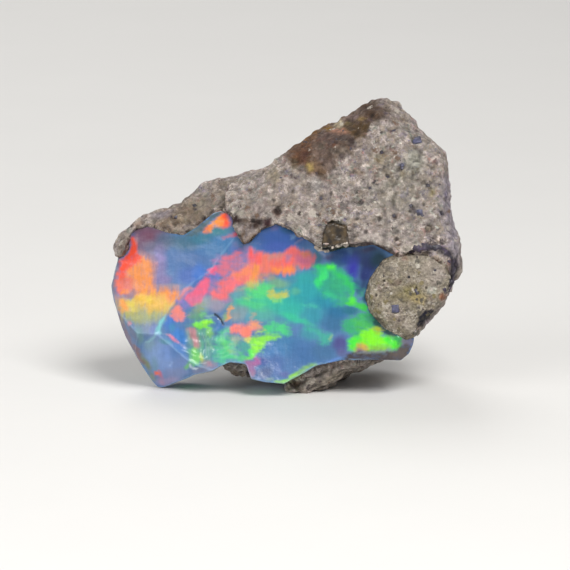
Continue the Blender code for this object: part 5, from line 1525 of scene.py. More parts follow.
# The iron stain under the peak, with its amber glassy patch.
IRON_STAIN = (
    Mark("#543824", (
        (-0.6, 25.2), (1.4, 27.0), (2.6, 28.0), (4.6, 29.3), (7.0, 30.3), (9.4, 30.3), (9.2, 28.4),
        (8.3, 27.0), (7.4, 26.2), (6.9, 25.4), (6.7, 24.6), (6.0, 24.1), (5.2, 24.2), (4.6, 23.1),
        (4.1, 22.0), (3.6, 22.4), (2.3, 22.5), (1.4, 23.1), (0.4, 23.5),
    ), 0.35, 0.82),
    Mark("#6f4826", (
        (0.0, 25.2), (1.2, 26.4), (2.8, 27.4), (3.1, 26.2), (2.4, 25.0), (2.2, 23.4), (1.3, 23.6),
    ), 0.25, 0.6),
    Mark("#6a4732", (
        (0.9, 25.0), (1.6, 25.4), (2.1, 25.5), (2.15, 24.6), (2.1, 23.9), (2.0, 23.3), (1.65, 23.5),
        (1.5, 24.1), (1.0, 24.4),
    ), 0.16, 0.8),
    Mark("#59362e", ((1.7, 24.7), (2.1, 24.8), (2.1, 23.9), (1.75, 23.9)), 0.12, 0.7),
    Mark("#8a6c50", (
        (2.2, 24.0), (3.2, 23.9), (3.8, 23.2), (4.1, 22.3), (3.4, 22.6), (2.6, 22.4), (2.3, 22.9),
    ), 0.2, 0.65),
    Mark("#b39a5c", ((2.2, 23.6), (2.8, 23.5), (2.8, 23.0), (2.4, 22.8), (2.1, 23.1)), 0.12, 0.85),
    Stain("#c4ac68", 2.5, 23.25, 0.16, 0.2, 0, 0.6),
    Mark("#5f4740", (
        (3.2, 26.4), (4.2, 26.8), (5.2, 26.6), (5.4, 25.9), (5.1, 25.2), (4.6, 25.6), (4.0, 25.9),
        (3.3, 25.9),
    ), 0.2, 0.75),
    Stain("#6a3f26", 5.0, 25.5, 0.25, 0.3, 0, 0.7), Stain("#9c877c", 4.5, 23.4, 0.7, 0.45, 10, 0.6),
    Stain("#94816f", 5.7, 24.7, 0.7, 0.3, 20, 0.5), Stain("#8d7264", 3.4, 24.6, 0.5, 0.4, 0, 0.5),
    Mark("#453734", (
        (5.3, 26.4), (6.0, 26.5), (6.9, 26.3), (7.0, 25.8), (6.4, 25.6), (5.9, 25.9), (5.4, 26.0),
    ), 0.15, 0.8),
    Stain("#443a3c", 5.75, 24.45, 0.35, 0.28, 0, 0.85), Stain("#4c403f", 6.7, 25.4, 0.4, 0.3, 0, 0.6),
    Stain("#5c554c", 4.9, 24.9, 0.7, 0.25, 0, 0.6), Stain("#a9998a", 5.9, 25.0, 0.3, 0.3, 0, 0.6),
    Mark("#94702a", ((3.8, 27.1), (4.4, 27.5), (4.9, 27.4), (4.8, 27.1), (4.2, 26.95)), 0.12, 0.85),
    Mark("#7a5422", band(0.8, (0.8, 25.6), (2.4, 26.8), (3.4, 27.4), (4.2, 27.9), (5.2, 28.6)), 0.16, 0.8),
    Mark("#b3826a", (
        (4.9, 27.3), (5.6, 27.5), (6.3, 27.3), (6.7, 27.0), (6.2, 26.8), (5.3, 26.8), (4.7, 26.9),
    ), 0.14, 0.85),
    Mark("#c4b596", (
        (5.1, 28.2), (5.7, 28.1), (6.0, 27.7), (5.7, 27.4), (5.2, 27.4), (5.0, 27.8),
    ), 0.12, 0.9),
    Stain("#e2dccb", 5.65, 27.8, 0.18, 0.16, 0, 0.9),
    Mark("#5a4426", (
        (6.1, 27.6), (6.5, 27.9), (7.2, 27.7), (8.0, 27.9), (8.7, 27.8), (8.5, 27.0), (8.1, 26.4),
        (7.3, 26.2), (6.9, 26.5), (6.4, 26.9), (6.1, 27.2),
    ), 0.14, 0.95),
    Stain("#4c3822", 7.6, 26.75, 0.5, 0.3, 0, 0.7), Stain("#4a3d33", 6.8, 27.25, 0.5, 0.12, -5, 0.7),
    Stain("#9c8150", 7.7, 28.3, 0.5, 0.2, 10, 0.8), Stain("#8b7a4c", 6.4, 27.8, 0.3, 0.15, 0, 0.7),
    Stain("#86706c", 6.9, 28.5, 0.5, 0.25, 0, 0.7), Stain("#3c2f1d", 6.5, 28.0, 0.14, 0.1, 0, 0.9),
    Stain("#4b3524", 9.3, 29.0, 1.7, 1.0, -10, 0.85), Stain("#8a6d45", 15.5, 26.2, 0.45, 0.2, -15, 0.85),
)  # fmt: skip
# Pits, cracks and dark grains on the face of the rock.
ROCK_PITS = (
    Mark("#473029", (
        (-1.45, 18.6), (-1.3, 19.1), (-0.9, 19.3), (-0.6, 19.1), (-0.95, 18.9), (-0.75, 18.5), (-0.85, 18.2),
        (-1.2, 18.3),
    ), 0.1, 0.9),
    Stain("#5b4138", -0.75, 18.45, 0.25, 0.25, 0, 0.8), Stain("#4d3d38", -0.3, 19.05, 0.14, 0.12, 0, 0.8),
    Mark("#4a3230", band(0.26, (9.0, 24.8), (9.6, 24.75), (10.3, 24.7)), 0.08, 0.85),
    Mark("#33281e", band(0.34, (11.5, 23.2), (11.9, 23.05), (12.3, 23.2)), 0.1, 0.9),
    Stain("#70717f", 11.95, 23.5, 0.28, 0.16, 0, 0.8),
    Mark("#352c18", band(0.3, (14.2, 21.9), (14.5, 21.6), (14.7, 21.25), (14.95, 21.1)), 0.08, 0.95),
    Mark("#40343a", band(0.28, (12.6, 19.3), (13.0, 19.1), (13.15, 18.6), (13.2, 18.3)), 0.1, 0.8),
    Stain("#6f7486", 13.6, 18.65, 0.35, 0.2, -15, 0.8), Stain("#2f2a33", 13.9, 18.35, 0.3, 0.12, -20, 0.9),
    Stain("#84794a", 13.8, 17.95, 0.25, 0.12, 0, 0.6), Stain("#45404a", 16.0, 18.5, 0.16, 0.3, 0, 0.8),
    Stain("#4b4044", 15.0, 24.3, 0.14, 0.16, 0, 0.8), Stain("#7d5a58", 15.2, 23.7, 0.3, 0.2, 0, 0.7),
    Mark("#3f3236", band(0.2, (13.5, 25.2), (13.9, 24.8), (14.2, 24.55)), 0.08, 0.8),
    Stain("#3a2e2a", 10.52, 22.15, 0.16, 0.1, 0, 0.9), Stain("#50302e", 11.15, 18.1, 0.2, 0.15, 0, 0.85),
    Stain("#8a6f67", 11.4, 18.3, 0.3, 0.2, 0, 0.5), Stain("#5d5044", 10.1, 18.6, 0.3, 0.35, 0, 0.5),
    Mark("#382b22", band(
        0.2, (14.1, 17.25), (14.25, 16.85), (14.45, 16.6), (14.75, 16.6), (14.95, 16.85), (14.85, 17.15),
        (14.6, 17.25), (14.35, 17.1),
    ), 0.05, 1.0),
    Stain("#b0a488", 14.6, 16.9, 0.18, 0.18, 0, 0.8), Stain("#2f2624", 14.1, 17.2, 0.16, 0.1, -20, 0.9),
    Stain("#41383f", -11.85, 18.1, 0.16, 0.2, -30, 0.9), Stain("#453f4a", -9.45, 18.95, 0.2, 0.14, 0, 0.9),
    Stain("#6b5342", -12.9, 17.4, 0.14, 0.16, 0, 0.8), Stain("#6f6250", -10.3, 18.6, 0.15, 0.2, 0, 0.7),
    Stain("#4f4640", 7.1, 22.75, 0.25, 0.2, 0, 0.8), Stain("#8b7157", 7.6, 22.6, 0.4, 0.25, 0, 0.6),
    Stain("#4a3f42", 7.5, 24.75, 0.2, 0.14, 0, 0.8), Stain("#3f3438", 8.65, 21.1, 0.2, 0.16, 0, 0.9),
    Stain("#4f4540", 8.4, 21.6, 0.16, 0.2, 0, 0.7), Stain("#4d464e", 3.6, 20.1, 0.14, 0.25, -20, 0.8),
    Stain("#5c5048", 1.4, 22.9, 0.25, 0.16, 0, 0.7), Stain("#5a4a42", 0.6, 20.8, 0.2, 0.14, 0, 0.6),
    Stain("#5d4a40", -3.8, 20.9, 0.16, 0.12, 30, 0.7), Stain("#5b5148", 0.5, 19.6, 0.3, 0.1, -25, 0.7),
    Stain("#5a4642", 11.7, 15.25, 0.18, 0.08, 0, 0.8), Stain("#6b5a50", 12.4, 18.2, 0.5, 0.2, -30, 0.5),
    Mark("#5f5444", band(0.4, (-6.5, 20.3), (-6.5, 19.7), (-6.8, 19.2), (-6.7, 18.8)), 0.15, 0.7),
    Stain("#6f6250", -6.9, 20.6, 0.2, 0.4, 0, 0.5),
)  # fmt: skip
# The crumbly tongue that reaches into the opal, and the dark places where rock, opal and clast meet.
ROCK_CONTACTS = (
    Mark("#786a66", (
        (-5.4, 18.3), (-4.6, 18.0), (-1.5, 17.9), (-1.5, 17.3), (-2.8, 16.4), (-3.4, 15.4), (-4.6, 15.0),
        (-5.1, 16.4),
    ), 0.2, 0.6),
    Mark("#33201d", (
        (-5.7, 17.9), (-5.0, 18.2), (-4.4, 17.9), (-4.5, 17.4), (-5.1, 17.2), (-5.6, 17.4),
    ), 0.1, 1.0),
    Mark("#33201b", ((-3.6, 17.7), (-2.9, 17.9), (-2.4, 17.5), (-2.9, 17.0), (-3.5, 17.1)), 0.1, 1.0),
    Mark("#4a2c30", ((-2.4, 17.7), (-1.6, 17.8), (-1.7, 17.2), (-2.4, 17.0)), 0.1, 1.0),
    Mark("#5b4634", band(0.4, (-4.3, 17.4), (-4.5, 16.4), (-4.6, 15.5)), 0.1, 0.8),
    Mark("#5d4326", band(0.4, (-3.3, 17.0), (-3.3, 16.2), (-3.5, 15.6)), 0.1, 0.8),
    Stain("#5a3e35", -3.7, 17.1, 0.15, 0.35, 0, 0.8), Stain("#75604a", -2.75, 16.6, 0.15, 0.5, 10, 0.7),
    Stain("#7c5f34", -3.4, 15.75, 0.28, 0.22, 0, 0.9), Stain("#7d6440", -4.5, 15.4, 0.2, 0.28, 0, 0.9),
    Stain("#b3a8a4", -3.4, 16.6, 0.25, 0.3, 0, 0.7), Stain("#54402f", -4.2, 17.6, 0.4, 0.16, 0, 0.8),
    # Painted shade: a thin dark line along the rock's edge over the opal at the left lobe.
    Mark("#4a3a34", band(
        0.24, (-14.6, 17.25), (-13.6, 17.15), (-12.6, 16.9), (-11.6, 16.6), (-10.6, 16.45), (-9.8, 16.8),
        (-9.0, 17.3), (-8.3, 17.95), (-7.5, 18.65), (-6.6, 18.9), (-5.9, 18.6),
    ), 0.07, 0.85),
    Mark("#b3a498", band(0.2, (-12.4, 17.2), (-11.4, 16.95), (-10.5, 16.85), (-9.7, 17.3)), 0.08, 0.5),
    Mark("#4b3136", band(
        0.34, (5.4, 15.2), (7.4, 15.4), (9.0, 15.2), (10.4, 14.6), (11.4, 14.05),
    ), 0.1, 0.85),
    Stain("#7b5f30", 12.4, 14.05, 0.35, 0.14, 0, 0.8), Stain("#8a6155", 11.6, 14.1, 0.5, 0.16, -20, 0.7),
    Mark("#2c2434", (
        (13.3, 14.5), (13.6, 15.05), (14.6, 15.35), (15.3, 15.25), (15.2, 14.7), (14.4, 14.5),
    ), 0.1, 1.0),
    Stain("#5a3a30", 14.9, 14.95, 0.3, 0.14, 0, 0.8),
    Mark("#221d2c", (
        (15.4, 14.8), (16.2, 14.95), (17.0, 14.7), (17.1, 13.9), (16.3, 14.1), (15.6, 14.3),
    ), 0.1, 1.0),
    Stain("#8b6ea0", 16.2, 15.1, 0.6, 0.12, 0, 0.5), Stain("#8a5a48", 16.8, 13.4, 0.25, 0.25, 0, 0.8),
    Mark("#29222f", (
        (16.9, 13.7), (17.5, 13.9), (17.8, 13.2), (17.5, 12.4), (17.2, 11.6), (16.9, 10.9), (16.6, 10.6),
        (16.5, 11.6), (16.8, 12.4),
    ), 0.12, 1.0),
    Mark("#8c8078", band(0.2, (17.9, 14.2), (18.05, 13.2), (17.8, 12.4), (17.3, 11.2)), 0.08, 0.7),
    Stain("#a8623c", 16.1, 9.9, 0.35, 0.35, 0, 0.9), Stain("#5a3424", 15.85, 10.2, 0.12, 0.3, 0, 0.8),
    Mark("#1b1b2a", (
        (13.5, 7.0), (13.8, 7.9), (14.4, 8.4), (15.0, 8.6), (15.3, 8.2), (14.6, 7.7), (14.2, 7.3),
        (13.8, 6.8),
    ), 0.1, 1.0),
    Stain("#a79ca8", 14.5, 7.0, 0.3, 0.7, -25, 0.7), Stain("#8a8070", 15.5, 8.7, 0.5, 0.2, 20, 0.6),
)  # fmt: skip


@dataclass
class HostRock:
    """The block of tuff that holds the opal: granular, pitted, cracked between its two lobes."""

    cell: float = 0.19
    closing: Closing = Closing()
    layers: tuple[Relief, ...] = (
        Relief(0.32, 4.6, 2, 3.1),
        Relief(0.24, 1.7, 2, 7.7),
        Relief(0.13, 0.75, 2, 1.9),
    )
    lump: float = 1.7
    dome: float = 0.16
    joint: float = 0.11  # depth of the grooves between the lumps
    settled: float = 0.05  # how far the whole surface sinks, so that its relief stays in the CAD box
    pits: GasPits = GasPits(0.28, 1.45, 0.06, 0.26, 0.45, 17.0)
    groove: tuple[tuple[float, float], ...] = ((-6.6, 21.6), (-6.9, 20.6), (-6.9, 19.4))
    groove_depth: float = 0.55
    ribs_top: float = 3.6
    ribs_lean: float = math.radians(24)
    rib_height: float = 0.36
    crystal_at: tuple[float, float] = (5.0, 16.2)
    crystal_half: tuple[float, float] = (1.9, 1.7)
    bared: float = 0.75  # share of the dark lining and painted shade that is missing beside the crystal
    hollows: tuple[tuple[float, float, float, float], ...] = (  # x, h, radius and depth
        (-0.85, 18.75, 0.62, 0.45),
        (11.1, 18.2, 0.5, 0.25),
        (2.2, 21.0, 1.1, 0.3),
        (13.2, 22.3, 0.8, 0.22),
        (-11.5, 17.6, 0.55, 0.25),
    )
    finish: BrokenTuff = field(
        default_factory=lambda: BrokenTuff(
            "welded_tuff_broken",
            light="#b3a8a0",
            mid="#978d87",
            specks=(
                Speck("#54484a", 0.95, 0.15, 0.14, 3.0),
                Speck("#6f5848", 1.5, 0.26, 0.25, 11.0),
                Speck("#b9afa3", 1.6, 0.36, 0.30, 23.0),
                Speck("#3d363a", 2.3, 0.22, 0.20, 31.0),
            ),
            hues=("#c6b8b0", "#a39597", "#989581", "#b59f8a", "#857a78"),
            mottles=(
                ("#8f9585", 0.5, 0.53),
                ("#8b7058", 0.8, 0.56),
                ("#e0d0c6", 0.8, 0.505),
                ("#857c92", 1.1, 0.56),
                ("#574a48", 1.3, 0.565),
                ("#b08a80", 0.9, 0.555),
                ("#cbcbbd", 1.5, 0.58),
            ),
            tints=(*ROCK_HUES, *IRON_STAIN, *ROCK_PITS, *ROCK_CONTACTS),
        )
    )

    def build(self, neighbours: Iterable[Skin]) -> Skin:
        """Shapes the rock and closes it on what it holds.

        Args:
            neighbours: The opal, the clast and the brown crystal.

        Returns:
            The rock's skin, still in drawing millimetres.
        """
        rock = Skin.of_node("tuff_host_rock", "host_rock").even(self.cell).relax(3)
        trees = [piece.tree() for piece in neighbours]
        pits: list[float] = []
        linings_and_shade: list[float] = []
        for vertex, at, normal in rock.points():
            facing = normal.dot(FRONT)
            shift = sum(layer.at(at) for layer in self.layers) + self.lumped(at) - self.settled
            shaded_pit = self.pits.share(at)
            shift -= self.pits.depth * shaded_pit
            for x, h, radius, deep in self.hollows:
                away = math.hypot(at.x - x, at.z - h)
                if away < radius and facing > 0.3:
                    shift -= deep * smooth_fall(away, 0.3 * radius, radius)
            if facing > 0.2:
                shift -= self.groove_depth * smooth_fall(line_distance(at, self.groove), 0.1, 0.7)
            if facing > -0.2:
                shift += self.striated(at)
            vertex.co, lining_and_shade = self.closing.shut(at, at + normal * shift, trees)
            pits.append(shaded_pit)
            # Painted shade, with a real dark rim, near the held pieces; less of it beside the crystal.
            linings_and_shade.append(lining_and_shade * (1.0 - self.bared * self.beside_crystal(at)))
        rock.store("shaded_pit", pits)
        rock.store("lining_and_shade", linings_and_shade)
        self.finish.paint(rock)
        return rock

    def beside_crystal(self, at: Vector) -> float:
        """How close to the brown crystal a point is.

        Args:
            at: A point in the drawing frame.

        Returns:
            A share from 0 to 1.
        """
        away_x = abs(at.x - self.crystal_at[0]) - self.crystal_half[0]
        away_h = abs(at.z - self.crystal_at[1]) - self.crystal_half[1]
        return smooth_fall(max(away_x, away_h, 0.0), 0.0, 0.4)

    def lumped(self, at: Vector) -> float:
        """Height of the broken lumps, each rounded and parted from the next by a narrow groove.

        Args:
            at: A point in the drawing frame.

        Returns:
            The height in millimetres.
        """
        bent = at + noise.noise_vector(at / 0.9) * 0.4
        # Along a groove the two nearest centres are equally far, and each lump domes up from there.
        near = noise.voronoi(bent / self.lump)[0]
        dome = math.sqrt(min(1.0, (near[1] - near[0]) / 0.55))
        broken = smooth_fall(noise.noise(at / 3.4), -0.25, 0.45)
        return broken * (self.dome * dome - self.joint)

    def striated(self, at: Vector) -> float:
        """Height of the ribs on the lump of rock under the opal.

        Args:
            at: A point in the drawing frame.

        Returns:
            The height in millimetres.
        """
        if at.z >= self.ribs_top:
            return 0.0
        turn = self.ribs_lean
        along = at.x * math.cos(turn) + at.z * math.sin(turn)
        across = -at.x * math.sin(turn) + at.z * math.cos(turn)
        height = self.rib_height * smooth_fall(at.z, self.ribs_top - 1.0, self.ribs_top)
        return height * noise.fractal(Vector((along / 4.0, at.y / 1.5, across / 0.48)), 0.8, 2.0, 2)


@dataclass
class OpalSeam:
    """The seam of opal: shell-shaped fractures that meet in ridges, a rippled chip and a small dark crack."""

    cell: float = 0.13
    ripple_centre: tuple[float, float] = (-8.6, 8.6)
    chip_centre: tuple[float, float] = (-8.3, 5.4)
    chip_radius: float = 3.9
    ripple_height: float = 0.07
    ripple_length: float = 1.15
    step_height: float = 0.16
    crack: tuple[tuple[float, float], ...] = ((-7.35, 8.05), (-7.05, 7.85), (-6.7, 7.45), (-6.5, 7.0))
    crack_depth: float = 0.25
    settled: float = 0.03
    pale_ridge_height: float = 0.04  # a ridge that stands this proud is fully pale: partly real wear, partly painted highlight
    holder_gap: float = 0.6  # nearer than this to the rock or the clast, no ridge is painted pale
    layers: tuple[Relief, ...] = (Relief(0.10, 4.2, 2, 12.0), Relief(0.03, 1.1, 2, 4.0))
    finish: PreciousOpal = PreciousOpal()

    def build(self) -> Skin:
        """Shapes the opal.

        Returns:
            The opal's skin, still in drawing millimetres.
        """
        opal = Skin.of_node("opal_seam", "opal").even(self.cell).relax(5)
        holders = [Skin.of_node("holder", name).tree() for name in ("host_rock", "rounded_clast")]
        ridges: list[float] = []
        # Ridges that stand proud are painted pale, partly as wear and partly as a painted highlight.
        for vertex, height in zip(opal.mesh.vertices, opal.proud(8)):
            held = any(holder.find_nearest(vertex.co, self.holder_gap)[0] is not None for holder in holders)
            ridge = min(1.0, max(0.0, height / self.pale_ridge_height)) * smooth_fall(vertex.co.x, 7.0, 10.0)
            ridges.append(0.0 if held else ridge)
        cracks: list[float] = []
        for vertex, at, normal in opal.points():
            shift = sum(layer.at(at) for layer in self.layers) - self.settled
            facing = max(0.0, normal.dot(FRONT))
            shift += facing * self.chipped(at)
            crack = facing * smooth_fall(line_distance(at, self.crack), 0.01, 0.17)
            vertex.co = at + normal * (shift - self.crack_depth * crack)
            cracks.append(crack)
        opal.store("ridge", ridges)
        opal.store("crack", cracks)
        self.finish.paint(opal)
        return opal

    def chipped(self, at: Vector) -> float:
        """Height of the ripples and broken steps inside the chip.

        Args:
            at: A point in the drawing frame.

        Returns:
            The height in millimetres.
        """
        away = math.hypot(at.x - self.chip_centre[0], at.z - self.chip_centre[1])
        if away > self.chip_radius:
            return 0.0
        fade = smooth_fall(away, 0.45 * self.chip_radius, self.chip_radius)
        ring = math.hypot(at.x - self.ripple_centre[0], at.z - self.ripple_centre[1])
        wobble = 0.5 * noise.noise(at / 1.4)
        ripples = self.ripple_height * math.sin((ring + wobble) * 2 * math.pi / self.ripple_length)
        steps = self.step_height * noise.fractal(Vector((at.x / 0.55, at.y, at.z / 1.6)), 0.8, 2.1, 3)
        inner = smooth_fall(away, 0.8, 3.0)
        return fade * (ripples + inner * steps)


# Hues, pits and grains on the face of the clast.
CLAST_TINTS = (
    Stain("#b0a494", 12.6, 12.6, 2.6, 1.8, 0, 0.35), Stain("#8f8451", 12.9, 10.3, 1.4, 0.9, 0, 0.75),
    Stain("#c0ac78", 13.6, 9.6, 0.9, 0.5, 0, 0.75), Stain("#8b7f5f", 11.6, 9.8, 0.9, 0.5, 0, 0.6),
    Stain("#b3a396", 11.4, 7.6, 1.2, 0.8, -30, 0.5), Stain("#c3b8ab", 12.8, 6.8, 0.9, 0.6, -40, 0.6),
    Stain("#cfd1c2", 14.9, 10.5, 0.55, 0.4, 0, 0.85), Stain("#eceee8", 14.95, 10.65, 0.2, 0.14, 0, 0.8),
    Stain("#cfc8b4", 13.5, 13.2, 0.28, 0.28, 0, 0.8), Stain("#b6a9a6", 15.5, 12.0, 0.8, 1.1, 0, 0.5),
    Stain("#8c7767", 11.4, 11.4, 0.4, 0.3, 0, 0.6), Stain("#5f5a58", 10.6, 12.7, 0.6, 0.3, -20, 0.6),
    Stain("#8a6a58", 12.1, 13.8, 0.5, 0.25, 10, 0.6), Stain("#7d7a70", 14.2, 14.2, 1.0, 0.14, 6, 0.6),
    Stain("#6a594d", 11.0, 11.1, 0.4, 0.12, 0, 0.6), Stain("#5f5342", 12.0, 9.4, 0.3, 0.16, 0, 0.6),
    Stain("#17130f", 15.2, 12.7, 0.12, 0.12, 0, 1.0), Stain("#2a2320", 15.08, 12.05, 0.1, 0.08, 0, 1.0),
    Stain("#332b28", 14.92, 11.45, 0.08, 0.08, 0, 1.0), Stain("#f1eee6", 15.08, 12.3, 0.14, 0.09, 0, 1.0),
    Stain("#4a4238", 13.15, 7.85, 0.14, 0.1, 0, 0.9), Stain("#4b404a", 11.55, 7.55, 0.14, 0.12, 0, 0.9),
    Stain("#4a4540", 13.35, 8.65, 0.16, 0.14, 0, 0.8), Stain("#5d564c", 12.45, 8.5, 0.3, 0.16, 0, 0.8),
    Stain("#4d3f3a", 11.75, 10.6, 0.16, 0.08, 0, 0.8), Stain("#4a4038", 12.8, 10.95, 0.2, 0.06, 0, 0.8),
    Stain("#57433a", 11.65, 11.5, 0.14, 0.14, 0, 0.8), Stain("#6f5e45", 15.5, 13.55, 0.12, 0.1, 0, 0.7),
    Stain("#5c564e", 14.5, 9.3, 0.2, 0.3, 0, 0.7), Stain("#7a6a5a", 14.9, 9.6, 0.3, 0.2, 0, 0.6),
    Stain("#a8623c", 16.0, 9.9, 0.3, 0.35, 0, 0.8), Stain("#c9bcae", 14.7, 12.2, 1.2, 2.0, 0, 0.4),
    Mark("#1b1b2a", (
        (13.5, 7.0), (13.7, 8.0), (14.3, 8.5), (15.0, 8.7), (15.3, 8.2), (14.7, 7.8), (14.3, 7.4),
        (13.9, 6.8),
    ), 0.06, 1.0),
)  # fmt: skip


@dataclass
class RoundedClast:
    """The rounded clast of coarser tuff in the seam's right corner."""

    cell: float = 0.12
    closing: Closing = Closing(reach=0.6, ragged=Relief(0.12, 0.6, 2, 9.0))
    layers: tuple[Relief, ...] = (
        Relief(0.14, 2.4, 2, 2.0),
        Relief(0.09, 0.8, 2, 8.0),
        Relief(0.06, 0.34, 2, 6.0),
    )
    pits: GasPits = GasPits(0.2, 1.1, 0.05, 0.24, 0.1, 11.0)
    finish: BrokenTuff = field(
        default_factory=lambda: BrokenTuff(
            "clast_tuff_broken",
            light="#a79d8a",
            mid="#8d8576",
            specks=(
                Speck("#3f3a3c", 0.85, 0.13, 0.25, 5.0),
                Speck("#857955", 1.1, 0.24, 0.3, 13.0),
                Speck("#cdc3b2", 1.3, 0.34, 0.35, 19.0),
                Speck("#5a564e", 1.2, 0.25, 0.4, 37.0),
            ),
            hues=("#c4b9a8", "#a2957f", "#8f8768", "#ad9c90", "#77705f"),
            mottles=(
                ("#857b58", 0.8, 0.54),
                ("#dbd1c2", 1.1, 0.51),
                ("#544b41", 1.5, 0.565),
                ("#b09a90", 1.3, 0.57),
            ),
            tints=CLAST_TINTS,
            grain=0.36,
            weathered="#8a8070",
        )
    )

    def build(self, opal: Skin) -> Skin:
        """Shapes the clast and closes it on the opal.

        Args:
            opal: The opal's skin.

        Returns:
            The clast's skin, still in drawing millimetres.
        """
        held = [opal.tree()]
        clast = Skin.of_node("rounded_tuff_clast", "rounded_clast").even(self.cell).relax(4)
        pits: list[float] = []
        for vertex, at, normal in clast.points():
            shaded_pit = self.pits.share(at)
            moved = at + normal * (sum(layer.at(at) for layer in self.layers) - self.pits.depth * shaded_pit)
            vertex.co, _ = self.closing.shut(at, moved, held)
            pits.append(shaded_pit)
        clast.store("shaded_pit", pits)
        self.finish.paint(clast)
        return clast


@dataclass
class SmokyCrystal:
    """The blocky broken feldspar crystal that stands in the rock just above the opal."""

    corners: tuple[tuple[float, float], ...] = ((3.6, 14.9), (6.4, 15.3), (6.35, 17.1), (4.1, 17.5))
    front: float = -3.75
    back: float = -0.6
    steps: tuple[tuple[Vector, Vector], ...] = (
        (Vector((4.6, 0.35, 16.6)), Vector((0.8, -1.0, 0.5))),
        (Vector((5.8, 0.22, 16.4)), Vector((-0.9, -1.0, 0.7))),
    )  # a point of each cleavage plane, with its depth behind the front, and the plane's normal
    bevel: float = 0.12
    cell: float = 0.1
    terrace_height: float = 0.22  # how far the highest cleavage terrace stands out
    terrace_levels: float = 3.0  # how many terraces it takes to get there
    frost: float = 0.04  # roughness of its broken faces
    settled: float = 0.05
    finish: GlassyGrain = GlassyGrain("smoky_feldspar_cleaved", "#1d150c", "#53432b", 0.28, 1.3)

    def build(self) -> Skin:
        """Shapes the crystal from its outline and steps its broken front.

        Returns:
            The crystal's skin, still in drawing millimetres.
        """
        bm = bmesh.new()
        face = bm.faces.new([bm.verts.new((x, self.front, h)) for x, h in self.corners])
        grown = bmesh.ops.extrude_face_region(bm, geom=[face])["geom"]
        moved = [v for v in grown if isinstance(v, bmesh.types.BMVert)]
        bmesh.ops.translate(bm, verts=moved, vec=(0.0, self.back - self.front, 0.0))
        bmesh.ops.recalc_face_normals(bm, faces=bm.faces)
        for point, slope in self.steps:
            geometry = bm.verts[:] + bm.edges[:] + bm.faces[:]
            place = (point.x, self.front + point.y, point.z)
            bmesh.ops.bisect_plane(bm, geom=geometry, dist=1e-5, plane_co=place, plane_no=slope)
        bmesh.ops.bevel(
            bm, geom=bm.edges[:], offset=self.bevel, segments=2, profile=0.5, affect="EDGES", material=-1
        )
        crystal = Skin.of_bmesh("smoky_feldspar_crystal", bm).even(self.cell)
        for vertex, at, normal in crystal.points():
            level = round(noise.noise(at + Vector((3, 1, 2))) * self.terrace_levels) / self.terrace_levels
            shift = self.terrace_height * level + self.frost * noise.noise(at / 0.35) - self.settled
            vertex.co = at + normal * shift
        return crystal


@dataclass(frozen=True)
class Grain:
    """One crystal set in the rock: its place on the face, its size and turn, and how square it is."""

    x: float
    h: float
    size: float
    turn: float = 0.0
    long: float = 1.0


@dataclass
class SetCrystals:
    """Small crystals of one mineral set in the surface of the rock and the clast.

    Some stand where the face shows them; the others, between least and most wide, are strewn all over.
    """

    name: str
    finish: GlassyGrain
    placed: tuple[Grain, ...]
    seed: int
    strewn: int = 0
    least: float = 0.1
    most: float = 0.2
    proud: float = 0.12  # share of a crystal that stands out of the surface
    shares: tuple[int, int] = (6, 1)  # how often the rock and the clast are chosen
    lengths: tuple[float, float] = (0.7, 1.6)
    clear_of_opal: float = 0.7
    miss: float = 0.2  # what a place too near the opal counts for

    def build(self, grounds: Sequence[Skin], keep_off: Skin) -> Skin:
        """Sets the named crystals by their place on the face, and strews the others all over.

        Args:
            grounds: The rock's and the clast's skins.
            keep_off: The opal, which has none.

        Returns:
            All the crystals as one skin.
        """
        chance = random.Random(self.seed)
        trees = [ground.tree() for ground in grounds]
        opal = keep_off.tree()
        bm = bmesh.new()
        for grain in self.placed:
            hit = front_hit(trees, grain.x, grain.h)
            if hit:
                self.set_one(bm, *hit, grain.size, math.radians(grain.turn), grain.long, chance)
        made = 0.0
        while made < self.strewn:
            ground = chance.choices(grounds, self.shares)[0]
            polygon = ground.mesh.polygons[chance.randrange(len(ground.mesh.polygons))]
            place, normal = polygon.center.copy(), polygon.normal.copy()
            if opal.find_nearest(place, self.clear_of_opal)[0] is not None:
                made += self.miss
                continue
            size = self.least + (self.most - self.least) * chance.random() ** 2
            turn, long = chance.uniform(0, math.pi), chance.uniform(*self.lengths)
            self.set_one(bm, place, normal, size, turn, long, chance)
            made += 1.0
        return Skin.of_bmesh(self.name, bm)

    def set_one(
        self,
        bm: bmesh.types.BMesh,
        place: Vector,
        normal: Vector,
        size: float,
        turn: float,
        long: float,
        chance: random.Random,
    ) -> None:
        """Adds one bevelled block, sunk most of its height into the surface.

        Args:
            bm: The mesh it goes into.
            place: Where it sits.
            normal: The surface's direction there.
            size: Its width in millimetres.
            turn: Its turn about the normal, in radians.
            long: Its length as a share of its width.
            chance: The seeded source of small variations.
        """
        tilt = Matrix.Rotation(chance.uniform(-0.25, 0.25), 4, "X")
        place_it = Matrix.Translation(place - normal * size * (0.5 - self.proud))
        turned = normal.to_track_quat("Z", "Y").to_matrix().to_4x4() @ Matrix.Rotation(turn, 4, "Z") @ tilt
        block = bmesh.new()
        bmesh.ops.create_cube(block, size=size)
        bmesh.ops.scale(block, vec=(1.0, long, 1.0), verts=block.verts)
        bmesh.ops.bevel(
            block, geom=block.edges[:], offset=0.08 * size, segments=1, profile=0.5, affect="EDGES",
            material=-1,
        )  # fmt: skip
        bmesh.ops.transform(block, matrix=place_it @ turned, verts=block.verts)
        mesh = bpy.data.meshes.new("block")
        block.to_mesh(mesh)
        block.free()
        bm.from_mesh(mesh)
        bpy.data.meshes.remove(mesh)


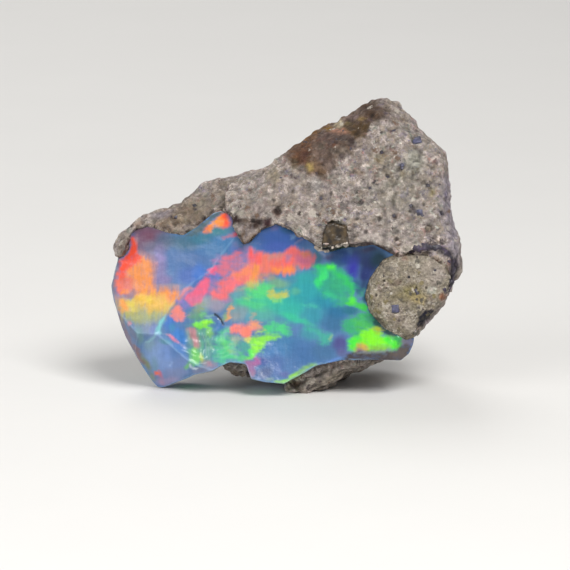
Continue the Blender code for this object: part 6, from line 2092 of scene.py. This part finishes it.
@dataclass
class BeadedCrust:
    """A crust of small beads grown along a crack, fused into one skin."""

    name: str
    line: tuple[tuple[float, float], ...]
    spread: float
    bead: tuple[float, float]
    beads: int
    finish: GlassyGrain
    seed: int
    sink: float = 0.35  # share of a bead's radius that is under the surface
    cell: float = 0.1
    rough: float = 0.06

    def build(self, grounds: Sequence[Skin]) -> Skin:
        """Grows the beads on whatever lies behind the line.

        Args:
            grounds: The skins the beads may grow on.

        Returns:
            The crust's skin.
        """
        chance = random.Random(self.seed)
        trees = [ground.tree() for ground in grounds]
        bm = bmesh.new()
        for _ in range(self.beads):
            share = chance.random() * (len(self.line) - 1)
            start, end = self.line[int(share)], self.line[int(share) + 1]
            part = share - int(share)
            x, h = (a + (b - a) * part + chance.gauss(0, self.spread) for a, b in zip(start, end))
            hit = front_hit(trees, x, h)
            if not hit:
                continue
            place, normal = hit
            radius = chance.uniform(*self.bead)
            centre = Matrix.Translation(place - normal * radius * self.sink)
            bmesh.ops.create_icosphere(bm, subdivisions=2, radius=radius, matrix=centre)
        crust = Skin.of_bmesh(self.name, bm).even(self.cell)
        for vertex, at, normal in crust.points():
            vertex.co = at + normal * self.rough * noise.fractal(at / 0.5, 0.8, 2.1, 2)
        return crust


@dataclass
class Studio:
    """A plain pale floor, soft light all round and the camera square to the stone's face."""

    aim: tuple[float, float, float] = (-0.12, -1.0, 11.08)
    distance: float = 900.0
    lens: float = 552.0
    floor_half: float = 1.6
    floor_colour: str = "#dcdad6"
    sky_colour: str = "#e8e8ea"
    sky_strength: float = 0.3
    lamp_aim: tuple[float, float, float] = (0.0, 0.0, 0.012)
    lamps: tuple[tuple[str, tuple[float, float, float], float, float], ...] = (
        ("key", (0.13, -0.24, 0.35), 0.22, 1.9),
        ("fill", (-0.30, -0.22, 0.16), 0.25, 0.6),
        ("rim", (-0.10, 0.30, 0.30), 0.22, 0.6),
    )  # name, place and side in metres, power in watts

    def build(self) -> None:
        """Makes the floor, the lights, the sky and the camera."""
        self.floor()
        for lamp in self.lamps:
            self.light(*lamp)
        world = bpy.data.worlds.new("soft_sky")
        world.use_nodes = True
        sky = world.node_tree.nodes["Background"]
        sky.inputs["Color"].default_value = linear(self.sky_colour)
        sky.inputs["Strength"].default_value = self.sky_strength
        scene = bpy.context.scene
        scene.world = world
        scene.view_settings.view_transform = "Standard"
        camera = bpy.data.cameras.new("front_camera")
        camera.lens = self.lens
        camera.sensor_width = 36.0
        camera.clip_start = 0.05
        holder = bpy.data.objects.new("front_camera", camera)
        stand = Vector(self.aim) + FRONT * self.distance
        holder.location = STONE.to_row() @ stand
        holder.rotation_euler = (math.radians(90) - STONE.lean, 0.0, 0.0)
        scene.collection.objects.link(holder)
        scene.camera = holder

    def floor(self) -> None:
        """Makes the floor, a sheet of matt pale card."""
        bm = bmesh.new()
        bmesh.ops.create_grid(bm, x_segments=1, y_segments=1, size=self.floor_half)
        mesh = bpy.data.meshes.new("floor")
        bm.to_mesh(mesh)
        bm.free()
        made = blank_material("matt_card")
        tree = made.node_tree
        at = add_node(tree, "TexCoord", {}, "Object")
        grain = add_node(tree, "TexNoise", {"Vector": at, "Scale": 60.0, "Detail": 3.0}, "Fac")
        shade = add_node(tree, "MapRange", {"Value": grain, 3: 0.985, 4: 1.015})
        colour = add_node(tree, "VectorMath", {0: linear(self.floor_colour)[:3], 3: shade}, operation="SCALE")
        shader = add_node(tree, "BsdfPrincipled", {"Base Color": colour, "Roughness": 0.6})
        add_node(tree, "OutputMaterial", {"Surface": shader})
        mesh.materials.append(made)
        holder = bpy.data.objects.new("floor", mesh)
        bpy.context.scene.collection.objects.link(holder)

    def light(self, name: str, place: tuple[float, float, float], size: float, power: float) -> None:
        """Adds a soft square light that looks at the stone.

        Args:
            name: The light's name.
            place: Where it hangs, in metres.
            size: Its side in metres.
            power: Its power in watts.
        """
        lamp = bpy.data.lights.new(name, "AREA")
        lamp.shape = "SQUARE"
        lamp.size = size
        lamp.energy = power
        holder = bpy.data.objects.new(name, lamp)
        holder.location = place
        toward = Vector(self.lamp_aim) - Vector(place)
        holder.rotation_euler = toward.to_track_quat("-Z", "Y").to_euler()
        bpy.context.scene.collection.objects.link(holder)


# Black glassy pyroxene, the same with a blue-grey tarnish, and clear feldspar that looks pale in the rock.
PYROXENE = GlassyGrain("pyroxene_broken", "#1f1a1c", "#464250", 0.3, 2.0)
TARNISHED = GlassyGrain("pyroxene_tarnished", "#2f2e3a", "#5b5b78", 0.35, 1.6)
CLEAR = GlassyGrain("clear_feldspar_broken", "#8f867a", "#bdb5a8", 0.18, 2.0)
SET_CRYSTALS = (
    SetCrystals("dark_pyroxene_grains", PYROXENE, (
        Grain(11.93, 23.1, 0.34, 40), Grain(14.6, 21.32, 0.4, 10), Grain(14.0, 18.25, 0.3, 30),
        Grain(12.85, 19.21, 0.38, 30), Grain(15.94, 18.49, 0.42, 15),
        Grain(10.49, 22.2, 0.36, 25), Grain(11.1, 27.03, 0.36, 0), Grain(9.83, 24.77, 0.34, 35),
        Grain(8.63, 21.06, 0.32, 12), Grain(3.59, 19.98, 0.3, 8), Grain(11.1, 18.18, 0.34, 22),
        Grain(13.42, 10.36, 0.34, 20, 1.9), Grain(12.6, 11.9, 0.28, 0),
        Grain(15.3, 12.6, 0.24, 0), Grain(-9.45, 19.3, 0.4, 30), Grain(-11.4, 18.1, 0.36, 10),
    ), strewn=70, least=0.08, most=0.24, seed=7),
    SetCrystals("tarnished_pyroxene_grains", TARNISHED, (
        Grain(13.47, 26.0, 0.95, 20), Grain(11.93, 23.4, 0.4, 40), Grain(13.74, 18.5, 0.6, 5, 1.1),
        Grain(11.2, 8.66, 0.78, 5, 1.05),
    ), seed=3),
    SetCrystals("pale_feldspar_grains", CLEAR, (
        Grain(15.12, 12.35, 0.26, 10), Grain(15.2, 11.6, 0.22, 30), Grain(13.5, 13.0, 0.42, 20),
        # The grain at 5.25, 16.85 stands for the white glint on the brown crystal, a painted highlight.
        Grain(14.9, 10.6, 0.4, 0), Grain(10.8, 10.2, 0.24, 15), Grain(5.25, 16.85, 0.3, 20),
        Grain(6.0, 18.3, 0.3, 0), Grain(1.6, 18.4, 0.3, 40), Grain(9.2, 19.6, 0.34, 10),
    ), strewn=12, least=0.08, most=0.2, seed=19),
)  # fmt: skip
# Beads of dark volcanic glass, whose dull shine edges the clast, and dry white crumbs of ash.
GLASS_LINING = BeadedCrust(
    "dark_glass_lining",
    line=((12.8, 14.5), (13.6, 14.8), (15.0, 15.1), (16.6, 14.4), (17.3, 12.9), (17.1, 11.2), (16.4, 10.2)),
    spread=0.15,
    bead=(0.12, 0.26),
    beads=130,
    finish=GlassyGrain("volcanic_glass_beads", "#17131f", "#463a4e", 0.35, 1.5),
    seed=5,
    sink=0.6,
)
ASH_RIM = BeadedCrust(
    "pale_ash_rim",
    line=((3.2, 14.85), (3.7, 14.75), (4.6, 14.8), (5.4, 15.0), (6.2, 15.25)),
    spread=0.10,
    bead=(0.10, 0.2),
    beads=200,
    finish=GlassyGrain("ash_crumbled", "#a0968c", "#d8ccbe", 0.75, 2.6),
    seed=23,
    sink=0.2,
)


def main() -> None:
    """Builds the stone's pieces in order, dresses them and sets the studio."""
    logging.basicConfig(level=logging.INFO, format="%(message)s")
    noise.seed_set(NOISE_SEED)
    seam, rounded, host, block = OpalSeam(), RoundedClast(), HostRock(), SmokyCrystal()
    opal = seam.build()
    clast = rounded.build(opal)
    crystal = block.build()
    rock = host.build([opal, clast, crystal])
    # The small pieces are set while their grounds are still in drawing millimetres.
    grains = [(kind.build([rock, clast], opal), kind.finish) for kind in SET_CRYSTALS]
    crusts = [
        (GLASS_LINING.build([rock, clast]), GLASS_LINING.finish),
        (ASH_RIM.build([rock, opal, crystal]), ASH_RIM.finish),
    ]
    opal.finish(Slot.OPAL, seam.finish.material(), "opal")
    rock.finish(Slot.TUFF, host.finish.material(), "host_rock")
    clast.finish(Slot.CLAST, rounded.finish.material(), "rounded_clast")
    crystal.finish(Slot.FELDSPAR, block.finish.material(), "smoky_crystal")
    for slot, pieces in ((Slot.FELDSPAR, grains), (Slot.TUFF, crusts)):
        for skin, finish in pieces:
            skin.finish(slot, finish.material())
    Studio().build()


if __name__ == "__main__":
    main()
